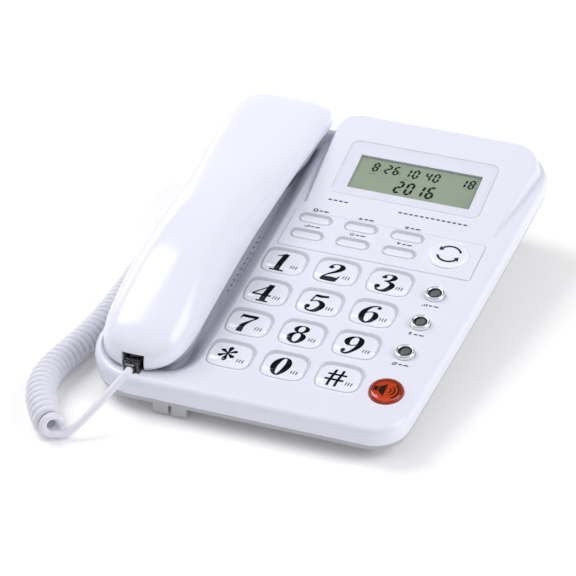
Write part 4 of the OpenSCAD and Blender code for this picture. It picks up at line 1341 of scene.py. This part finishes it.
def bowl(s, rings, grow):
    """A cup of oval rings (half width, half length, height)."""
    fine = []
    for (a0, b0, z0), (a1, b1, z1) in zip(rings, rings[1:]):
        fine += [(lerp(a0, a1, t), lerp(b0, b1, t), lerp(z0, z1, t)) for t in (0.0, 0.5)]
    fine.append(rings[-1])
    return loft([oval_ring(HANDSET_X, s, a - grow, b - grow, 2.8, z + grow * (1 - i / len(fine)), 72)
                 for i, (a, b, z) in enumerate(fine)])


MOUTH = ((11.0, 11.0, -8.4), (12.6, 13.0, -8.1), (15, 16, -6.4), (16.8, 18.4, -4.2), (18, 20, -2),
         (19.2, 22.5, 2.4), (19.4, 22.8, 4.6))
EAR = ((11.2, 12.6, -11.8), (12.6, 14.2, -11.4), (14, 16, -9.8), (15.5, 17.8, -7.4), (17.6, 19.4, -5.4),
       (19.6, 20.8, -3), (21.6, 21.6, 1), (22.4, 22, 7))


def sound_holes():
    """Thirteen holes in rings under the ear, and seven in front of the mouth."""
    ear = [(HANDSET_X + 0.01, EAR_S + 0.0)]
    for r, turn in ((3.2, 0), (6.4, 30)):
        ear += [(HANDSET_X + r * math.cos(a), EAR_S + r * math.sin(a))
                for a in (math.radians(step + turn) for step in range(0, 360, 60))]
    mouth = [(HANDSET_X + dx, MOUTH_S + dy)
             for dx, dy in ((0, -3), (0, 0), (0, 3), (-2.6, -1.5), (-2.6, 1.5), (2.6, -1.5), (2.6, 1.5))]
    return joined(pegs(ear, 0.8, -14, 8, 20), pegs(mouth, 0.7, -12, 8, 16))


def make_inner_shell():
    shell = solid("handset_inner", loft([
        keel_ring(s, max(half_width(s) - 0.45, 0.3), seam(s) - 0.12, 4.4 + seam_lift(s) - 2.6 * along(s) ** 6)
        for s in stations(0.3)]))
    above = loft([[(HANDSET_X - 30, s, seam(s) - 0.12), (HANDSET_X - 30, s, 40), (HANDSET_X + 30, s, 40),
                   (HANDSET_X + 30, s, seam(s) - 0.12)] for s in stations(0, 40, 90)])
    for s, rings in ((MOUTH_S, MOUTH), (EAR_S, EAR)):
        unite(shell, cut(solid("cup", bowl(s, rings, 0)), solid("above", above)))
    hollow = loft([keel_ring(s, half_width(s) - 2.4, seam(s) + 2, 2.4 - 2.6 * along(s) ** 6)
                   for s in stations(3, 30, 82)])
    inside = solid("inside", hollow)
    cut(inside, *[solid("post", screw_hole(7, s, -12, 30)) for s in SCREW_S])
    cut(shell, inside)
    screws = joined(*[screw_hole(3.3, s, -10, 16) for s in SCREW_S])
    heads = joined(*[screw_hole(6.2, s, -10, seam(s) - 2.2) for s in SCREW_S])
    for name, shape in (("mouth", bowl(MOUTH_S, MOUTH, 2)), ("ear", bowl(EAR_S, EAR, 2)), ("notch", notch()),
                        ("screws", screws), ("heads", heads), ("sound_holes", sound_holes())):
        cut(shell, solid(name, shape))
    dressed(shaded(shell, 38), INNER_WHITE, "handset", "grey_white_shell", ["handset_inner_shell"])


make_outer_shell()
make_inner_shell()


# ---- Hook plunger ----
def make_hook_plunger():
    low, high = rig.box("hook_plunger")
    at, top, foot = ((low.x + high.x) / 2 / MM, (low.y + high.y) / 2 / MM), high.z / MM, low.z / MM
    button = round_edged(lambda i, z: box_ring(*around(at, 9.8, 7.8, -i), 1.2, z, 6),
                         top - 18, top, 0.1, 1.1, 6)
    collar = round_edged(lambda i, z: box_ring(*around(at, 13, 11, -i), 1, z, 4),
                         top - 18.7, top - 17.5, 0.2, 0.2, 2)
    pin = loft([round_ring(*at, 1.8, z, 28) for z in (foot, top - 18.5)])
    post = solid("hook_button", button, DESK)
    unite(post, solid("collar", collar, DESK), solid("pin", pin, DESK))
    dressed(shaded(post, 40), INNER_WHITE, "hook_plunger", "white_shell", ["hook_plunger"])


make_hook_plunger()


# ---- CAD pieces kept as they are ----
def finish_cad_pieces():
    looks = {"lcd_holder": DARK, "main_board": BOARD, "key_board": BOARD, "keypad_membrane": SILICONE,
             "loudspeaker": FRAME_METAL, "hook_switch": DARK, "hook_spring": SPRING_STEEL, "line_jack": JACK,
             "cord_jack": JACK, "ballast_plate": STEEL, "rubber_feet": RUBBER, "case_screws": SCREW_STEEL,
             "receiver_capsule": CAPSULE, "microphone_capsule": CAPSULE, "handset_weight": STEEL,
             "handset_jack": JACK, "handset_screws": SCREW_STEEL}
    for name, material in looks.items():
        mesh = frame["nodes"][name].data
        mesh.materials.clear()
        mesh.materials.append(material)
        if name in ("hook_spring", "rubber_feet", "case_screws", "handset_screws", "receiver_capsule",
                    "microphone_capsule", "loudspeaker"):
            mesh.polygons.foreach_set("use_smooth", [True] * len(mesh.polygons))
            mesh.set_sharp_from_angle(angle=math.radians(35))


finish_cad_pieces()


# ---- Stage and light ----
def area_light(name, place, aim, size, watts):
    light = bpy.data.lights.new(name, "AREA")
    light.shape = "RECTANGLE"
    light.size, light.size_y = size
    light.energy = watts
    obj = bpy.data.objects.new(name, light)
    obj.location = place
    obj.rotation_euler = (Vector(aim) - Vector(place)).to_track_quat("-Z", "Y").to_euler()
    obj.visible_transmission = False
    bpy.context.scene.collection.objects.link(obj)


# Strength of the surroundings near the ground and overhead, each in front of and behind the telephone
WORLD_LOW, WORLD_HIGH = (0.14, 0.80), (0.72, 0.08)


def make_world():
    """Pale surroundings: bright above the front, dim above the back where the key tops mirror them, and the
    other way round near the ground, so that the lip and the shadow under it stay darker than the face."""
    world = bpy.data.worlds.new("studio")
    world.use_nodes = True
    nodes, links = world.node_tree.nodes, world.node_tree.links
    place = nodes.new("ShaderNodeTexCoord")
    axes = nodes.new("ShaderNodeSeparateXYZ")
    links.new(place.outputs["Generated"], axes.inputs["Vector"])
    mix = nodes.new("ShaderNodeMix")
    for target, axis, limits in (("Factor", "Z", (0.2, 0.62, 0.0, 1.0)),
                                 ("A", "Y", (-0.75, -0.05, *WORLD_LOW)),
                                 ("B", "Y", (-0.1, 0.45, *WORLD_HIGH))):
        fade = nodes.new("ShaderNodeMapRange")
        fade.interpolation_type = "SMOOTHSTEP"
        for socket, value in zip(("From Min", "From Max", "To Min", "To Max"), limits):
            fade.inputs[socket].default_value = value
        links.new(axes.outputs[axis], fade.inputs["Value"])
        links.new(fade.outputs["Result"], mix.inputs[target])
    links.new(mix.outputs["Result"], nodes["Background"].inputs["Strength"])
    nodes["Background"].inputs["Color"].default_value = (0.985, 0.99, 1.0, 1)
    bpy.context.scene.world = world


def make_stage():
    floor = solid("floor", box(-3, 3, -3, 3, -0.02, -0.0002), Matrix.Identity(4))
    material = new_material("floor", (0.97, 0.97, 0.97), 0.9, Specular_IOR_Level=0.2,
                            Emission_Color=(1, 1, 1, 1), Emission_Strength=0.07)
    grained(material, 40, 0.05, 0.05)
    floor.data.materials.append(material)
    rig.stage(floor)
    area_light("overhead", (-0.82, 0.16, 1.10), (0, 0, 0.03), (0.75, 0.75), 9.1)
    area_light("left_side", (-1.15, 0.85, 0.50), (-0.03, 0, 0.03), (0.9, 0.5), 2.4)
    area_light("right_fill", (1.20, 0.05, 1.00), (0, 0, 0.03), (1.0, 1.0), 10.6)
    make_world()
    bpy.context.scene.view_settings.view_transform = "Standard"


make_stage()

with open("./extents.json", "w") as out:
    json.dump({"cad": [list(p) for p in cad_bounds], "visual": [list(p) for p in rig.bounds()]}, out)
